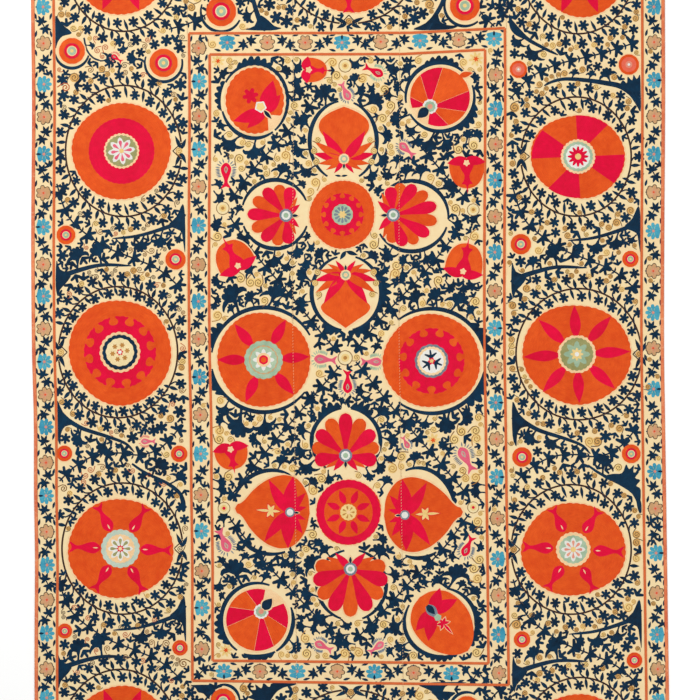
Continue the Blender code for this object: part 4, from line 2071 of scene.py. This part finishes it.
def binding(name, path, inward, material):
    """A strip of tape folded over the cover's edge, from the top face to the underside."""
    path = np.asarray(path, float)
    inward = np.broadcast_to(inward, path.shape)
    ripple = 0.12 * np.sin(np.arange(len(path)) * 1.7)
    points = []
    for depth, height in TAPE_SECTION:
        flat = path + inward * depth
        points.append(np.column_stack([flat, np.full(len(path), height) + ripple * (height > 1)]))
    faces = tube_faces(len(TAPE_SECTION), len(path))
    run, (in_x, in_y) = path[-1] - path[0], inward[0]
    if run[0] * in_y < run[1] * in_x:
        # The cover lies to the right of the path, so the faces are turned to look outward.
        faces = [face[::-1] for face in faces]
    walked = walked_along(path)
    piece = new_piece(f"tape_{name}", np.vstack(points), faces, material)
    lay_strands(piece.data, np.array([(far, k) for k in range(len(TAPE_SECTION)) for far in walked]))
    piece.data.shade_smooth()
    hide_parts(name)


def sew_binding(material):
    """The tape along the two long edges and across the two ends."""
    half = COVER_LENGTH / 2
    ys = np.linspace(-half + 1, half - 1, 200)
    for name, share, inward in (("binding_left", 0.0, 1.0), ("binding_right", 1.0, -1.0)):
        binding(name, np.stack([across(share, ys), ys], 1), (inward, 0), material)
    for name, y, inward in (("binding_far_end", half, -1.0), ("binding_near_end", -half, 1.0)):
        xs = np.linspace(float(across(0, y)) + 8, float(across(1, y)) - 8, 130)
        binding(name, np.stack([xs, np.full(len(xs), y)], 1), (0, inward), material)


def seam_stitches():
    """Small slanting stitches that join the widths. In the field they lie over the flowers."""
    half = COVER_LENGTH / 2 - 10
    for share in SEAMS:
        layer = 4 if share in SEAMS[1:3] else 0
        for y in np.arange(-half, half, STITCH_SPACING):
            x = float(across(share, y))
            line = np.array([(x - 0.6, y - 1.8), (x, y), (x + 0.6, y + 1.8)])
            silk("peach", (x, y)).ribbon(line, 1.0, layer, uneven(), False)


# Floor, light and camera, in metres

VIEW_WIDTH = 1.75
VIEW_CENTRE = (0.0, 0.0175)
LENS = 100.0
SENSOR = 36.0
FLOOR_REACH = 6.0
FLOOR_DROP = 0.0004
SKY_STRENGTH = 0.48

# The lamps, as (name, place, size, power)
LAMPS = [
    ("key_light", (-1.9, 2.6, 4.0), 2.6, 165),
    ("fill_light", (2.6, -1.8, 3.6), 3.0, 70),
]


def floor():
    """A plain pale floor just under the cover."""
    nodes = Nodes("pale_floor")
    place = nodes.add("ShaderNodeTexCoord").outputs["Object"]
    grain = nodes.noise(place, 3.0, 3.0)
    base = nodes.mix(grain, paint(250, 250, 249), paint(246, 246, 245))
    nodes.put(nodes.shader.inputs["Base Color"], base)
    nodes.set(Roughness=0.9)
    mesh = bpy.data.meshes.new("floor")
    corners = [(-1, -1), (1, -1), (1, 1), (-1, 1)]
    points = [(x * FLOOR_REACH, y * FLOOR_REACH, -FLOOR_DROP) for x, y in corners]
    mesh.from_pydata(points, [], [(0, 1, 2, 3)])
    mesh.materials.append(nodes.material)
    piece = bpy.data.objects.new("floor", mesh)
    bpy.context.collection.objects.link(piece)


def light(name, place, size, power):
    """A round soft lamp that faces the middle of the cover."""
    lamp = bpy.data.lights.new(name, "AREA")
    lamp.shape = "DISK"
    lamp.size = size
    lamp.energy = power
    thing = bpy.data.objects.new(name, lamp)
    thing.location = place
    x, y, z = -np.array(place)
    thing.rotation_euler = (math.atan2(math.hypot(x, y), -z), 0, math.atan2(y, x) - math.pi / 2)
    bpy.context.collection.objects.link(thing)


def camera():
    """The camera straight above the cover, as in the photograph."""
    data = bpy.data.cameras.new("camera")
    data.lens = LENS
    data.sensor_width = SENSOR
    thing = bpy.data.objects.new("camera", data)
    distance = VIEW_WIDTH * LENS / SENSOR
    thing.location = (VIEW_CENTRE[0], VIEW_CENTRE[1], distance + CLOTH_THICKNESS * METRES)
    bpy.context.collection.objects.link(thing)
    bpy.context.scene.camera = thing


def studio():
    """The floor, the light and the camera."""
    floor()
    for lamp in LAMPS:
        light(*lamp)
    world = bpy.data.worlds.new("studio")
    world.use_nodes = True
    background = world.node_tree.nodes["Background"]
    background.inputs["Color"].default_value = (1.0, 1.0, 1.0, 1.0)
    background.inputs["Strength"].default_value = SKY_STRENGTH
    bpy.context.scene.world = world
    bpy.context.scene.view_settings.view_transform = "Standard"
    camera()


def main():
    """Sews the cover from its lines to its smallest curls, then lays the cloth under them."""
    border_lines()
    wide_border()
    narrow_borders()
    field()
    fill_bare_ground()
    seam_stitches()
    cotton = cotton_material()
    for name, first, last in CLOTH_WIDTHS:
        cloth_width(name, first, last, cotton)
    sew_binding(binding_material())
    materials = {name: silk_material(name, *dyes) for name, dyes in SILKS.items()}
    for stitches in sewn.values():
        stitches.build(materials[stitches.colour])
    studio()


main()
